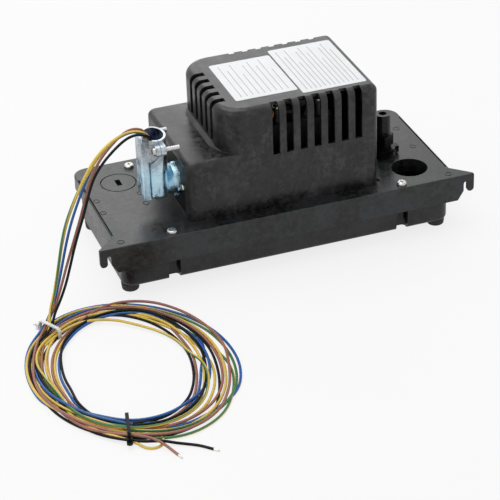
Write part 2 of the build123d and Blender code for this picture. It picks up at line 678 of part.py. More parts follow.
def lid():
    body = lid_plan(0, LID_UNDER, LID_TOP)
    skirt = lid_plan(0, LID_TOP - SKIRT_DROP, LID_UNDER) - lid_plan(-SKIRT_WALL, LID_TOP - SKIRT_DROP, LID_UNDER)
    body += skirt
    body += front_flange()
    ear = EAR_SPAN / 2
    half_x = LID_LENGTH / 2
    for side in (-1, 1):
        gusset = [
            (side * (half_x - SKIRT_WALL), LID_FRONT),
            (side * ear, LID_FRONT),
            (side * ear, LID_FRONT + SKIRT_WALL),
            (side * half_x, LID_FRONT + EAR_GUSSET_RUN),
            (side * (half_x - SKIRT_WALL), LID_FRONT + EAR_GUSSET_RUN),
        ]
        outline = Location((0, 0, LID_UNDER)) * make_face(Polyline(*gusset, close=True))
        body += extrude(outline, LID_PLATE, dir=(0, 0, 1))
    top_edges = [
        e
        for e in body.faces().sort_by(Axis.Z)[-1].outer_wire().edges()
        if abs(e.center().Z - LID_TOP) < 0.01
    ]
    body = fillet(top_edges, LID_EDGE_ROUND)
    for side in (-1, 1):
        outer = side * (half_x - EDGE_GROOVE_INSET)
        x0, x1 = sorted((outer, outer - side * EDGE_GROOVE_WIDTH))
        start = LID_FRONT + EAR_GUSSET_RUN + SKIRT_WALL
        end = LID_DEPTH / 2 - EDGE_GROOVE_END_GAP
        body -= block(x0, x1, start, end, LID_TOP - EDGE_GROOVE_DEPTH, LID_TOP)
    pocket_x = COVER_RIGHT + POCKET_GAP
    pocket_y = LID_FRONT + POCKET_FROM_FRONT
    pocket = make_face(
        Polyline(
            (pocket_x, pocket_y),
            (pocket_x + POCKET_WIDTH, pocket_y + POCKET_WIDTH / 2),
            (pocket_x, pocket_y + POCKET_LENGTH),
            close=True,
        )
    )
    body -= Location((0, 0, LID_TOP - POCKET_DEPTH)) * extrude(pocket, POCKET_DEPTH, dir=(0, 0, 1))
    body += lid_underside()
    body += lid_topside()
    for x, y, radius in lid_holes():
        body -= post(x, y, LID_TOP - SKIRT_DROP - 10, LID_TOP + 40, radius)
    for x, y in BOLT_PLACES:
        body -= post(x, y, LID_TOP + 5, LOWER_BRACKET_Z, BOLT_RADIUS + HOLE_CLEARANCE)
    return body


def lid_holes():
    """Round holes that go right through the lid."""
    holes = [
        (INLET_X, INLET_Y, INLET_RADIUS),
        (PLUG_X, PLUG_Y, PLUG_RADIUS + PLUG_CLEARANCE),
        (MOTOR_X, MOTOR_Y, BUSH_RADIUS + HOLE_CLEARANCE),
        (VALVE_X, VALVE_Y, VALVE_STEM + HOLE_CLEARANCE),
        (ROD_X, ROD_Y, ROD_RADIUS + HOLE_CLEARANCE),
    ]
    holes += [(x, y, LID_SCREW_CORE + HOLE_CLEARANCE) for x, y in LID_SCREW_PLACES]
    holes += [(x, y, SMALL_SCREW_CORE + HOLE_CLEARANCE) for x, y in COVER_BOSS_PLACES]
    return holes


def volute_lug_places():
    places = []
    for number in range(VOLUTE_LUGS):
        angle = math.radians(60 + 360 / VOLUTE_LUGS * number)
        places.append(
            (MOTOR_X + VOLUTE_LUG_REACH * math.cos(angle), MOTOR_Y + VOLUTE_LUG_REACH * math.sin(angle))
        )
    return places


def lid_underside():
    """Collars, the float guide, the volute's pillars and the stiffening ribs."""
    collar_bottom = LID_UNDER - INLET_COLLAR_DROP
    parts = post(INLET_X, INLET_Y, collar_bottom, LID_UNDER, INLET_RADIUS + INLET_COLLAR_WALL)
    parts += post(PLUG_X, PLUG_Y, collar_bottom, LID_UNDER, PLUG_RADIUS + INLET_COLLAR_WALL)
    parts += post(ROD_X, ROD_Y, LID_UNDER - GUIDE_DROP, LID_UNDER, ROD_RADIUS + GUIDE_WALL)
    for x, y in volute_lug_places():
        parts += post(x, y, VOLUTE_TOP, LID_UNDER, VOLUTE_LUG_RADIUS) - post(
            x, y, VOLUTE_TOP, LID_UNDER, SMALL_SCREW_CORE + HOLE_CLEARANCE
        )
    return parts


def lid_topside():
    """Motor posts, the top of the float guide and the low wall that locates the cover."""
    inner = COVER_WALL + LOCATOR_GAP
    x0 = COVER_LEFT + inner
    x1 = COVER_RIGHT - inner
    half_y = COVER_DEPTH / 2 - inner
    top = LID_TOP + LOCATOR_HEIGHT
    wall = rounded_plate(x0, x1, -half_y, half_y, LID_TOP, top, LOWER_CORNER - inner + 0.01)
    wall -= rounded_plate(
        x0 + LOCATOR_WALL,
        x1 - LOCATOR_WALL,
        -half_y + LOCATOR_WALL,
        half_y - LOCATOR_WALL,
        LID_TOP,
        top,
        LOWER_CORNER - inner - LOCATOR_WALL + 0.01,
    )
    for x, y in COVER_BOSS_PLACES:
        wall -= post(x, y, LID_TOP, top, COVER_BOSS_RADIUS + 2 * LOCATOR_GAP)
        reach = COVER_BOSS_INSET + COVER_BOSS_RADIUS
        sx = -1 if x < 0 else 1
        sy = -1 if y < 0 else 1
        bx0, bx1 = sorted((x - sx * (COVER_BOSS_RADIUS + LOCATOR_GAP), x + sx * reach))
        by0, by1 = sorted((y - sy * (COVER_BOSS_RADIUS + LOCATOR_GAP), y + sy * reach))
        wall -= block(bx0, bx1, by0, by1, LID_TOP, top)
    parts = wall
    for x, y in BOLT_PLACES:
        foot = Location((x, y, LID_TOP + 3)) * Cone(POST_RADIUS + 2.5, POST_RADIUS, 6)
        parts += post(x, y, LID_TOP, LOWER_BRACKET_Z, POST_RADIUS) + foot
    parts += post(ROD_X, ROD_Y, LID_TOP, LID_TOP + GUIDE_RISE, ROD_RADIUS + GUIDE_WALL)
    return parts


def lid_screws():
    screws = [
        pan_screw(x, y, LID_TOP, LID_SCREW_CORE, LID_SCREW_LENGTH, LID_SCREW_HEAD, LID_SCREW_HEAD_HEIGHT)
        for x, y in LID_SCREW_PLACES
    ]
    return Compound(children=screws)


def inlet_plug():
    """A push-in cap, flush with the lid, with a skirt and a coin slot."""
    flat = post(PLUG_X, PLUG_Y, LID_TOP - PLUG_FLANGE - COIN_SLOT_DEPTH, LID_TOP, PLUG_RADIUS)
    groove_z = LID_TOP - LID_PLATE - SEAL_RING * 2.5
    skirt_bottom = LID_TOP - LID_PLATE - PLUG_SKIRT
    skirt = post(PLUG_X, PLUG_Y, skirt_bottom, LID_TOP - PLUG_FLANGE, PLUG_RADIUS)
    skirt -= post(PLUG_X, PLUG_Y, skirt_bottom, LID_TOP - PLUG_FLANGE - COIN_SLOT_DEPTH, PLUG_RADIUS - PLUG_WALL - SEAL_RING)
    cap = flat + skirt
    cap -= post(PLUG_X, PLUG_Y, groove_z, groove_z + 2 * SEAL_RING, PLUG_RADIUS + 1) - post(
        PLUG_X, PLUG_Y, groove_z, groove_z + 2 * SEAL_RING, PLUG_RADIUS - SEAL_RING * 1.5
    )
    slot = Location((PLUG_X, PLUG_Y, LID_TOP - COIN_SLOT_DEPTH / 2), (0, 0, 62)) * Box(
        COIN_SLOT_LENGTH, COIN_SLOT_WIDTH, COIN_SLOT_DEPTH
    )
    step_floor = LID_TOP - PLUG_STEP_DEPTH
    cap -= post(PLUG_X, PLUG_Y, step_floor, LID_TOP, PLUG_RADIUS + 1) - post(
        PLUG_X, PLUG_Y, step_floor, LID_TOP, PLUG_RADIUS - PLUG_STEP_WIDTH
    )
    return cap - slot


def plug_seal():
    """The rubber ring in the plug's groove."""
    groove_z = LID_TOP - LID_PLATE - SEAL_RING * 2.5
    middle = groove_z + SEAL_RING
    major = PLUG_RADIUS - SEAL_RING * 0.75 - 0.02
    return Location((PLUG_X, PLUG_Y, middle)) * Torus(major, SEAL_RING * 0.7)


# Motor cover and the wiring panel


def cover_block(shrink):
    """The cover's outer form, or the hollow inside it when shrunk by the wall."""
    x0 = COVER_LEFT + shrink
    x1 = COVER_RIGHT - shrink
    half_y = COVER_DEPTH / 2 - shrink
    lower = block(x0, x1, -half_y, half_y, LID_TOP, LEDGE_TOP - shrink)
    left = [e for e in lower.edges().filter_by(Axis.Z) if e.center().X < 0]
    right = [e for e in lower.edges().filter_by(Axis.Z) if e.center().X > 0]
    lower = fillet(left, LOWER_CORNER - shrink)
    right = [e for e in lower.edges().filter_by(Axis.Z) if e.center().X > COVER_RIGHT - shrink - 1]
    lower = fillet(right, RIGHT_CORNER - shrink)
    lower = fillet(lower.faces().sort_by(Axis.Z)[-1].edges(), LEDGE_ROUND - min(shrink, LEDGE_ROUND - 1.5))
    upper = block(UPPER_LEFT + shrink, x1, -half_y, half_y, LID_TOP + RIGHT_CORNER, COVER_TOP - shrink)
    left = [e for e in upper.edges().filter_by(Axis.Z) if e.center().X < 0]
    upper = fillet(left, UPPER_CORNER - shrink)
    right = [e for e in upper.edges().filter_by(Axis.Z) if e.center().X > COVER_RIGHT - shrink - 1]
    upper = fillet(right, RIGHT_CORNER - shrink)
    upper = fillet(upper.faces().sort_by(Axis.Z)[-1].edges(), COVER_TOP_ROUND - shrink)
    return lower + upper


def ledge_bead():
    """The low bead that runs round the foot of the upper box on the ledge."""
    half_y = COVER_DEPTH / 2 - LEDGE_ROUND
    x1 = COVER_RIGHT - UPPER_CORNER
    bead = rounded_plate(
        UPPER_LEFT - LEDGE_BEAD, x1, -half_y, half_y, LEDGE_TOP - 1, LEDGE_TOP + LEDGE_BEAD, UPPER_CORNER
    )
    bead = chamfer(bead.faces().sort_by(Axis.Z)[-1].edges(), LEDGE_BEAD * 0.9)
    return bead


def vent_cuts():
    """The slots that wrap over the top edges at the front, the back and the left end."""
    cuts = []
    for number in range(VENT_COUNT):
        x = VENT_FIRST_X + number * VENT_PITCH
        for side in (-1, 1):
            y0, y1 = sorted((side * (COVER_DEPTH / 2 - VENT_REACH), side * (COVER_DEPTH / 2 + 1)))
            cuts.append(
                block(x - VENT_WIDTH / 2, x + VENT_WIDTH / 2, y0, y1, LID_TOP + VENT_BOTTOM, COVER_TOP + 1)
            )
    first = END_VENT_MIDDLE - END_VENT_PITCH * (END_VENT_COUNT - 1) / 2
    for number in range(END_VENT_COUNT):
        y = first + number * END_VENT_PITCH
        cuts.append(
            block(
                UPPER_LEFT - LEDGE_BEAD,
                UPPER_LEFT + END_VENT_REACH,
                y - VENT_WIDTH / 2,
                y + VENT_WIDTH / 2,
                LID_TOP + END_VENT_BOTTOM,
                COVER_TOP + 1,
            )
        )
    return cuts


def panel_opening(margin):
    """The opening in the cover's left face for the wiring panel, grown by a margin."""
    half = PANEL_WIDTH / 2 + margin
    return block(
        COVER_LEFT - 1,
        COVER_LEFT + PANEL_THICKNESS,
        PANEL_Y - half,
        PANEL_Y + half,
        PANEL_BOTTOM - margin,
        PANEL_TOP + margin,
    )


def motor_cover():
    shell = cover_block(0) + ledge_bead()
    shell -= cover_block(COVER_WALL)
    for cut in vent_cuts():
        shell -= cut
    for x, y in COVER_BOSS_PLACES:
        boss = post(x, y, LID_TOP, LID_TOP + COVER_BOSS_HEIGHT, COVER_BOSS_RADIUS)
        shell += boss & cover_block(COVER_WALL / 2)
    for x, y in COVER_BOSS_PLACES:
        depth = COVER_SCREW_LENGTH - LID_PLATE + 1
        shell -= post(x, y, LID_TOP, LID_TOP + depth, SMALL_SCREW_CORE + HOLE_CLEARANCE)
    shell -= panel_opening(PANEL_GAP)
    half = PANEL_WIDTH / 2 - PANEL_LAP
    shell -= block(
        COVER_LEFT - 1,
        COVER_LEFT + COVER_WALL + 1,
        PANEL_Y - half,
        PANEL_Y + half,
        PANEL_BOTTOM + PANEL_LAP,
        PANEL_TOP - PANEL_LAP,
    )
    for y in panel_screw_ys():
        boss = bar_x(COVER_LEFT + PANEL_THICKNESS, COVER_LEFT + 8, y, PANEL_SCREW_Z, 3.2)
        shell += boss
        shell -= bar_x(COVER_LEFT, COVER_LEFT + 8, y, PANEL_SCREW_Z, SMALL_SCREW_CORE + HOLE_CLEARANCE)
    return shell


def panel_screw_ys():
    reach = PANEL_WIDTH / 2 - PANEL_SCREW_INSET
    return (PANEL_Y - reach, PANEL_Y + reach)


def cover_screws():
    """Screws that come up through the lid into the cover's corner bosses."""
    screws = []
    for x, y in COVER_BOSS_PLACES:
        up = pan_screw(0, 0, 0, SMALL_SCREW_CORE, COVER_SCREW_LENGTH, SMALL_SCREW_HEAD, SMALL_SCREW_HEAD_HEIGHT)
        screws.append(Location((x, y, LID_UNDER), (180, 0, 0)) * up)
    return Compound(children=screws)


def wiring_panel():
    """The flat panel with the knock-out that the elbow's nipple passes through."""
    half = PANEL_WIDTH / 2
    panel = block(
        COVER_LEFT, COVER_LEFT + PANEL_THICKNESS, PANEL_Y - half, PANEL_Y + half, PANEL_BOTTOM, PANEL_TOP
    )
    corners = [e for e in panel.edges().filter_by(Axis.X)]
    panel = fillet(corners, 2)
    panel -= bar_x(COVER_LEFT - 1, COVER_LEFT + 3, ELBOW_Y, ELBOW_Z, NIPPLE_RADIUS + HOLE_CLEARANCE)
    for y in panel_screw_ys():
        panel -= bar_x(COVER_LEFT - 1, COVER_LEFT + 3, y, PANEL_SCREW_Z, SMALL_SCREW_CORE + HOLE_CLEARANCE)
    return panel


def panel_screws():
    screws = []
    for y in panel_screw_ys():
        flat = pan_screw(0, 0, 0, SMALL_SCREW_CORE, 7, SMALL_SCREW_HEAD, SMALL_SCREW_HEAD_HEIGHT)
        screws.append(Location((COVER_LEFT, y, PANEL_SCREW_Z), (0, -90, 0)) * flat)
    return Compound(children=screws)


# Conduit elbow


def mouth_shell(grow, z0, z1):
    """The oval upright sleeve of the elbow, at its outer size or shrunk to its bore."""
    outline = Location((MOUTH_X, ELBOW_Y, z0)) * Ellipse(MOUTH_WIDTH / 2 + grow, MOUTH_DEPTH / 2 + grow)
    return extrude(outline, z1 - z0)


def elbow_hollow():
    """The wire way through the elbow: down the sleeve, through the neck and out of the nipple."""
    hollow = mouth_shell(-ELBOW_WALL, ELBOW_BOTTOM + ELBOW_FLOOR, MOUTH_TOP + 1)
    hollow = fillet(hollow.edges().sort_by(Axis.Z)[0], HEEL_ROUND - ELBOW_WALL)
    barrel_left = COVER_LEFT - LOCKNUT_THICKNESS - BARREL_RIM
    hollow += bar_x(MOUTH_X, barrel_left, ELBOW_Y, ELBOW_BOTTOM + NECK_RADIUS, NECK_BORE)
    hollow += bar_x(barrel_left - ELBOW_SPLIT_GAP, COVER_LEFT + NIPPLE_INSIDE + 1, ELBOW_Y, ELBOW_Z, NIPPLE_BORE)
    return hollow


def neck():
    """The slanted neck that widens from the sleeve to the barrel, level along the bottom."""
    low = ELBOW_BOTTOM - BARREL_DROP
    left = MOUTH_X + MOUTH_WIDTH / 2 - ELBOW_WALL - 1
    right = COVER_LEFT - LOCKNUT_THICKNESS - BARREL_RIM
    small = Plane(origin=(left, ELBOW_Y, low + NECK_RADIUS), z_dir=(1, 0, 0)) * Circle(NECK_RADIUS)
    wide = Plane(origin=(right, ELBOW_Y, low + BARREL_RADIUS), z_dir=(1, 0, 0)) * Circle(BARREL_RADIUS)
    rim = bar_x(right, right + BARREL_RIM, ELBOW_Y, low + BARREL_RADIUS, BARREL_RADIUS)
    return loft([small, wide], ruled=True) + rim


def side_plates():
    """The flat plates on the front and the back of the sleeve, below the ears."""
    outline = [
        (MOUTH_X - SPLIT_LOW_OUT, SPLIT_LOW_TOP),
        (MOUTH_X, SPLIT_HIGH_BOTTOM),
        (MOUTH_X + SIDE_PLATE_TOP_OUT, SPLIT_HIGH_BOTTOM),
        (MOUTH_X + SIDE_PLATE_LOW_OUT, SIDE_PLATE_LOW_TOP),
        (MOUTH_X - SPLIT_LOW_OUT + 1.5, SIDE_PLATE_BOTTOM),
        (MOUTH_X - SPLIT_LOW_OUT, SIDE_PLATE_BOTTOM),
    ]
    face = Plane.XZ * make_face(Polyline(*outline, close=True))
    plate = extrude(face, SIDE_PLATE_DEPTH, dir=(0, 1, 0))
    front = ELBOW_Y - MOUTH_DEPTH / 2 - SIDE_PLATE_PROUD
    back = ELBOW_Y + MOUTH_DEPTH / 2 + SIDE_PLATE_PROUD - SIDE_PLATE_DEPTH
    return [Location((0, front, 0)) * plate, Location((0, back, 0)) * plate]


def split_side(offset):
    """All that lies left of the joint, which steps back below the ears, moved along X by an offset."""
    high = MOUTH_X + offset
    low = MOUTH_X - SPLIT_LOW_OUT + offset
    outline = [
        (high, MOUTH_TOP + 5),
        (high, SPLIT_HIGH_BOTTOM),
        (low, SPLIT_LOW_TOP),
        (low, ELBOW_BOTTOM - 1),
        (low - 40, ELBOW_BOTTOM - 1),
        (low - 40, MOUTH_TOP + 5),
    ]
    face = Plane.XZ * make_face(Polyline(*outline, close=True))
    return Location((0, ELBOW_Y - 40, 0)) * extrude(face, 80, dir=(0, 1, 0))


def clamp_ears():
    """A pair of ears for the screws, in front of the sleeve and behind it."""
    half_height = CLAMP_EAR_HEIGHT / 2
    ears = block(
        MOUTH_X - CLAMP_EAR_LEFT,
        MOUTH_X + CLAMP_EAR_RIGHT,
        ELBOW_Y - MOUTH_DEPTH / 2 - CLAMP_EAR_REACH,
        ELBOW_Y + MOUTH_DEPTH / 2 + CLAMP_EAR_REACH,
        CLAMP_EAR_Z - half_height,
        CLAMP_EAR_Z + half_height,
    )
    return fillet(ears.edges().filter_by(Axis.X), CLAMP_EAR_HEIGHT * 0.4)


def clamp_screw_ys():
    reach = MOUTH_DEPTH / 2 + CLAMP_EAR_REACH - CLAMP_SCREW_HEAD - 0.4
    return (ELBOW_Y - reach, ELBOW_Y + reach)


def elbow_sleeve():
    """The upright sleeve with its rounded heel, before it is hollowed."""
    sleeve = mouth_shell(0, ELBOW_BOTTOM, MOUTH_TOP)
    return fillet(sleeve.edges().sort_by(Axis.Z)[0], HEEL_ROUND)


def elbow_half(side):
    """One part of the elbow: side -1 is the strap on the left, side +1 the body with the nipple."""
    form = elbow_sleeve() + clamp_ears()
    if side < 0:
        strap = block(
            MOUTH_X - STRAP_OUT,
            MOUTH_X - SPLIT_LOW_OUT + 1,
            ELBOW_Y - STRAP_HALF_WIDTH,
            ELBOW_Y + STRAP_HALF_WIDTH,
            ELBOW_BOTTOM + STRAP_END_GAP,
            MOUTH_TOP - STRAP_END_GAP,
        )
        strap = fillet(strap.faces().sort_by(Axis.X)[0].edges(), STRAP_ROUND)
        half = (form + strap) & split_side(-ELBOW_SPLIT_GAP / 2)
        dimple_x = MOUTH_X - STRAP_OUT
        half -= bar_x(dimple_x - 1, dimple_x + STRAP_DIMPLE, ELBOW_Y - STRAP_DIMPLE, CLAMP_EAR_Z, STRAP_DIMPLE)
    else:
        for plate in side_plates():
            form += plate
        half = form - split_side(ELBOW_SPLIT_GAP / 2)
        half += neck()
        half += bar_x(
            COVER_LEFT - LOCKNUT_THICKNESS, COVER_LEFT + NIPPLE_INSIDE, ELBOW_Y, ELBOW_Z, NIPPLE_RADIUS
        )
    half -= elbow_hollow()
    for y in clamp_screw_ys():
        half -= bar_x(MOUTH_X - 12, MOUTH_X + 12, y, CLAMP_EAR_Z, CLAMP_SCREW_CORE + HOLE_CLEARANCE)
        if side < 0:
            head_x = MOUTH_X - CLAMP_EAR_LEFT
            half -= bar_x(head_x - 16, head_x, y, CLAMP_EAR_Z, CLAMP_SCREW_HEAD + 0.3)
    return half


def elbow_body():
    return elbow_half(1)


def elbow_clamp():
    return elbow_half(-1)


def clamp_screws():
    screws = []
    for y in clamp_screw_ys():
        screw = pan_screw(0, 0, 0, CLAMP_SCREW_CORE, CLAMP_SCREW_LENGTH, CLAMP_SCREW_HEAD, CLAMP_SCREW_HEAD_HEIGHT)
        screws.append(Location((MOUTH_X - CLAMP_EAR_LEFT, y, CLAMP_EAR_Z), (0, -90, 0)) * screw)
    return Compound(children=screws)


def locknut():
    """The lugged nut that holds the nipple in the panel, outside the cover."""
    x0 = COVER_LEFT - LOCKNUT_THICKNESS
    nut = bar_x(x0, COVER_LEFT, ELBOW_Y, ELBOW_Z, LOCKNUT_RADIUS - 1.5)
    lug = 3.2
    for number in range(LOCKNUT_LUGS):
        angle = math.radians(360 / LOCKNUT_LUGS * number + 15)
        y = ELBOW_Y + (LOCKNUT_RADIUS - lug / 2) * math.cos(angle)
        z = ELBOW_Z + (LOCKNUT_RADIUS - lug / 2) * math.sin(angle)
        nut += bar_x(x0, COVER_LEFT, y, z, lug / 2 + 0.4)
    return nut - bar_x(x0, COVER_LEFT, ELBOW_Y, ELBOW_Z, NIPPLE_RADIUS + HOLE_CLEARANCE)


def wire_bushing():
    """The soft ring inside the mouth that the wires come out of."""
    top = WIRE_START_HEIGHT
    return mouth_shell(-ELBOW_WALL - 0.05, top - BUSHING_HEIGHT, top)


# Motor


def stator_stack():
    """Laminations: a rotor frame, two limbs and the wound leg."""
    x_right = MOTOR_X + STACK_RIGHT
    x_left = MOTOR_X - STACK_LEFT
    frame_left = MOTOR_X - STACK_RIGHT
    stack = block(x_left, x_right, -STACK_HALF_DEPTH, STACK_HALF_DEPTH, STACK_BOTTOM, STACK_TOP)
    stack = fillet(stack.edges().filter_by(Axis.Z), 4)
    window = block(
        x_left + STACK_LEG,
        frame_left,
        -STACK_HALF_DEPTH + STACK_LIMB,
        STACK_HALF_DEPTH - STACK_LIMB,
        STACK_BOTTOM,
        STACK_TOP,
    )
    stack -= window
    stack -= post(MOTOR_X, MOTOR_Y, STACK_BOTTOM, STACK_TOP, ROTOR_RADIUS + AIR_GAP)
    for x, y in BOLT_PLACES:
        stack -= post(x, y, STACK_BOTTOM, STACK_TOP, BOLT_RADIUS + HOLE_CLEARANCE)
    return stack


def leg_sleeve(inner, outer, y0, y1, corner):
    """A rectangular sleeve round the wound leg, between two offsets from it."""
    x0 = MOTOR_X - STACK_LEFT
    x1 = x0 + STACK_LEG
    sleeve = block(x0 - outer, x1 + outer, y0, y1, STACK_BOTTOM - outer, STACK_TOP + outer)
    if corner > 0:
        sleeve = fillet(sleeve.edges().filter_by(Axis.Y), corner)
    return sleeve - block(x0 - inner, x1 + inner, y0, y1, STACK_BOTTOM - inner, STACK_TOP + inner)


def coil_bobbin():
    """The moulded former: a sleeve on the leg with a cheek at each end."""
    reach = STACK_HALF_DEPTH - STACK_LIMB - 0.3
    gap = 0.2
    bobbin = leg_sleeve(gap, gap + BOBBIN_WALL, -reach, reach, 0)
    outer = gap + BOBBIN_WALL + WINDING_DEPTH + 0.5
    for y0, y1 in ((-reach, -reach + BOBBIN_WALL), (reach - BOBBIN_WALL, reach)):
        bobbin += leg_sleeve(gap, outer, y0, y1, 2)
    return bobbin


def motor_winding():
    reach = STACK_HALF_DEPTH - STACK_LIMB - 0.3 - BOBBIN_WALL
    inner = 0.2 + BOBBIN_WALL
    return leg_sleeve(inner, inner + WINDING_DEPTH, -reach, reach, WINDING_CORNER)


def motor_bracket(plate_z, stack_z):
    """A cross-shaped bearing bracket with four hollow legs that stand on the stack."""
    top = plate_z + BRACKET_PLATE
    span = math.hypot(BOLT_SPACING_X, BOLT_SPACING_Y)
    angle = math.degrees(math.atan2(BOLT_SPACING_Y, BOLT_SPACING_X))
    bracket = None
    for turn in (angle, -angle):
        arm = Location((MOTOR_X, MOTOR_Y, plate_z + BRACKET_PLATE / 2), (0, 0, turn)) * Box(
            span, BRACKET_ARM, BRACKET_PLATE
        )
        bracket = arm if bracket is None else bracket + arm
    for x, y in BOLT_PLACES:
        bracket += post(x, y, plate_z, top, BRACKET_PAD)
        leg0, leg1 = sorted((stack_z, plate_z + BRACKET_PLATE / 2))
        bracket += post(x, y, leg0, leg1, BRACKET_PAD - 0.6)
    cup_middle = plate_z + BRACKET_PLATE / 2
    cup = BEARING_RADIUS + BEARING_CUP_WALL
    bracket += post(MOTOR_X, MOTOR_Y, cup_middle - BEARING_HEIGHT / 2, cup_middle + BEARING_HEIGHT / 2, cup)
    bracket -= post(MOTOR_X, MOTOR_Y, plate_z - 20, plate_z + 20, BEARING_RADIUS + HOLE_CLEARANCE)
    for x, y in BOLT_PLACES:
        bracket -= post(x, y, plate_z - 20, plate_z + 20, BOLT_RADIUS + HOLE_CLEARANCE)
    return bracket


def upper_bracket():
    return motor_bracket(UPPER_BRACKET_Z, STACK_TOP)


def lower_bracket():
    return motor_bracket(LOWER_BRACKET_Z, STACK_BOTTOM)


def bearing(plate_z):
    middle = plate_z + BRACKET_PLATE / 2
    sleeve = post(MOTOR_X, MOTOR_Y, middle - BEARING_HEIGHT / 2, middle + BEARING_HEIGHT / 2, BEARING_RADIUS)
    sleeve = chamfer(sleeve.edges().filter_by(GeomType.CIRCLE), 0.8)
    return sleeve - post(MOTOR_X, MOTOR_Y, middle - 10, middle + 10, SHAFT_RADIUS + RUNNING_CLEARANCE)


def upper_bearing():
    return bearing(UPPER_BRACKET_Z)


def lower_bearing():
    return bearing(LOWER_BRACKET_Z)


def motor_bolts():
    """Long bolts through both brackets and the stack into the lid's posts."""
    seat = UPPER_BRACKET_Z + BRACKET_PLATE
    length = seat - LOWER_BRACKET_Z + 12
    bolts = [
        pan_screw(x, y, seat, BOLT_RADIUS, length, BOLT_HEAD, BOLT_HEAD_HEIGHT) for x, y in BOLT_PLACES
    ]
    return Compound(children=bolts)


def rotor():
    """The squirrel-cage rotor: laminations between two end rings, pressed on the shaft."""
    core = post(MOTOR_X, MOTOR_Y, STACK_BOTTOM, STACK_TOP, ROTOR_RADIUS)
    for z0, z1 in ((STACK_BOTTOM - 3, STACK_BOTTOM), (STACK_TOP, STACK_TOP + 3)):
        ring = post(MOTOR_X, MOTOR_Y, z0, z1, ROTOR_RADIUS - 1.2)
        core += ring - post(MOTOR_X, MOTOR_Y, z0, z1, ROTOR_RADIUS - 5.5)
    return core - post(MOTOR_X, MOTOR_Y, STACK_BOTTOM - 4, STACK_TOP + 4, SHAFT_RADIUS)


def motor_shaft():
    shaft = post(MOTOR_X, MOTOR_Y, SHAFT_BOTTOM, SHAFT_TOP, SHAFT_RADIUS)
    return chamfer(shaft.edges().filter_by(GeomType.CIRCLE), 0.4)


def cooling_fan():
    """A plate fan with bowed blades above the upper bracket."""
    blade_top = SHAFT_TOP - 0.5
    blade_bottom = blade_top - FAN_BLADE_HEIGHT
    plate_bottom = blade_bottom - FAN_PLATE
    fan = post(0, 0, plate_bottom, blade_bottom, FAN_RADIUS)
    blade = curved_blade(FAN_HUB + 4, FAN_RADIUS, BLADE_THICKNESS, blade_bottom, blade_top, 24)
    for number in range(FAN_BLADES):
        fan += Rotation(0, 0, 360 / FAN_BLADES * number) * blade
    fan += post(0, 0, plate_bottom, blade_top, FAN_HUB)
    fan -= post(0, 0, plate_bottom, blade_top, SHAFT_RADIUS)
    return Location((MOTOR_X, MOTOR_Y, 0)) * fan


# Pump end


def tube_start():
    """The point where the discharge tube leaves the volute, level with its outlet."""
    angle = math.radians(TUBE_ANGLE)
    across = VOLUTE_RADIUS - TUBE_RADIUS
    along = VOLUTE_RADIUS + VOLUTE_WALL
    x = MOTOR_X + across * math.sin(angle) + along * math.cos(angle)
    y = MOTOR_Y - across * math.cos(angle) + along * math.sin(angle)
    return (x, y, TUBE_Z)


def outlet_bar(radius, start, end):
    """A round bar on the outlet's line, between two distances past the tangent point."""
    angle = math.radians(TUBE_ANGLE)
    across = VOLUTE_RADIUS - TUBE_RADIUS
    middle = (start + end) / 2
    x = MOTOR_X + across * math.sin(angle) + middle * math.cos(angle)
    y = MOTOR_Y - across * math.cos(angle) + middle * math.sin(angle)
    return Location((x, y, TUBE_Z), (0, 0, TUBE_ANGLE)) * bar_x(start - middle, end - middle, 0, 0, radius)


def volute():
    """The pump casing: a chamber off centre from the shaft, a tangent outlet and three lugs."""
    cx = MOTOR_X
    cy = MOTOR_Y
    radius = VOLUTE_RADIUS
    form = post(cx, cy, VOLUTE_BOTTOM, VOLUTE_TOP, radius + VOLUTE_WALL)
    form = fillet(form.edges().sort_by(Axis.Z)[-1], 2)
    form += outlet_bar(TUBE_RADIUS + VOLUTE_WALL * 0.6, 0, radius + VOLUTE_WALL)
    for x, y in volute_lug_places():
        lug = post(x, y, VOLUTE_BOTTOM, VOLUTE_TOP, VOLUTE_LUG_RADIUS)
        web = block(cx, cx + VOLUTE_LUG_REACH, -VOLUTE_LUG_RADIUS, VOLUTE_LUG_RADIUS, VOLUTE_BOTTOM, VOLUTE_TOP)
        turn = math.degrees(math.atan2(y - cy, x - cx))
        web = Location((cx, cy, 0), (0, 0, turn)) * (Location((-cx, 0, 0)) * web)
        form += lug + web
    chamber_top = VOLUTE_TOP - VOLUTE_WALL
    form -= Location((0, 0, 0)) * post(cx + VOLUTE_OFFSET / 2, cy, VOLUTE_BOTTOM, chamber_top, radius - VOLUTE_OFFSET / 2)
    form -= outlet_bar(TUBE_BORE, 0, radius + VOLUTE_WALL)
    form -= post(cx, cy, chamber_top, VOLUTE_TOP, SHAFT_RADIUS + 2)
    for x, y in volute_lug_places():
        form -= post(x, y, VOLUTE_BOTTOM, VOLUTE_TOP, SMALL_SCREW_CORE + HOLE_CLEARANCE)
    return form


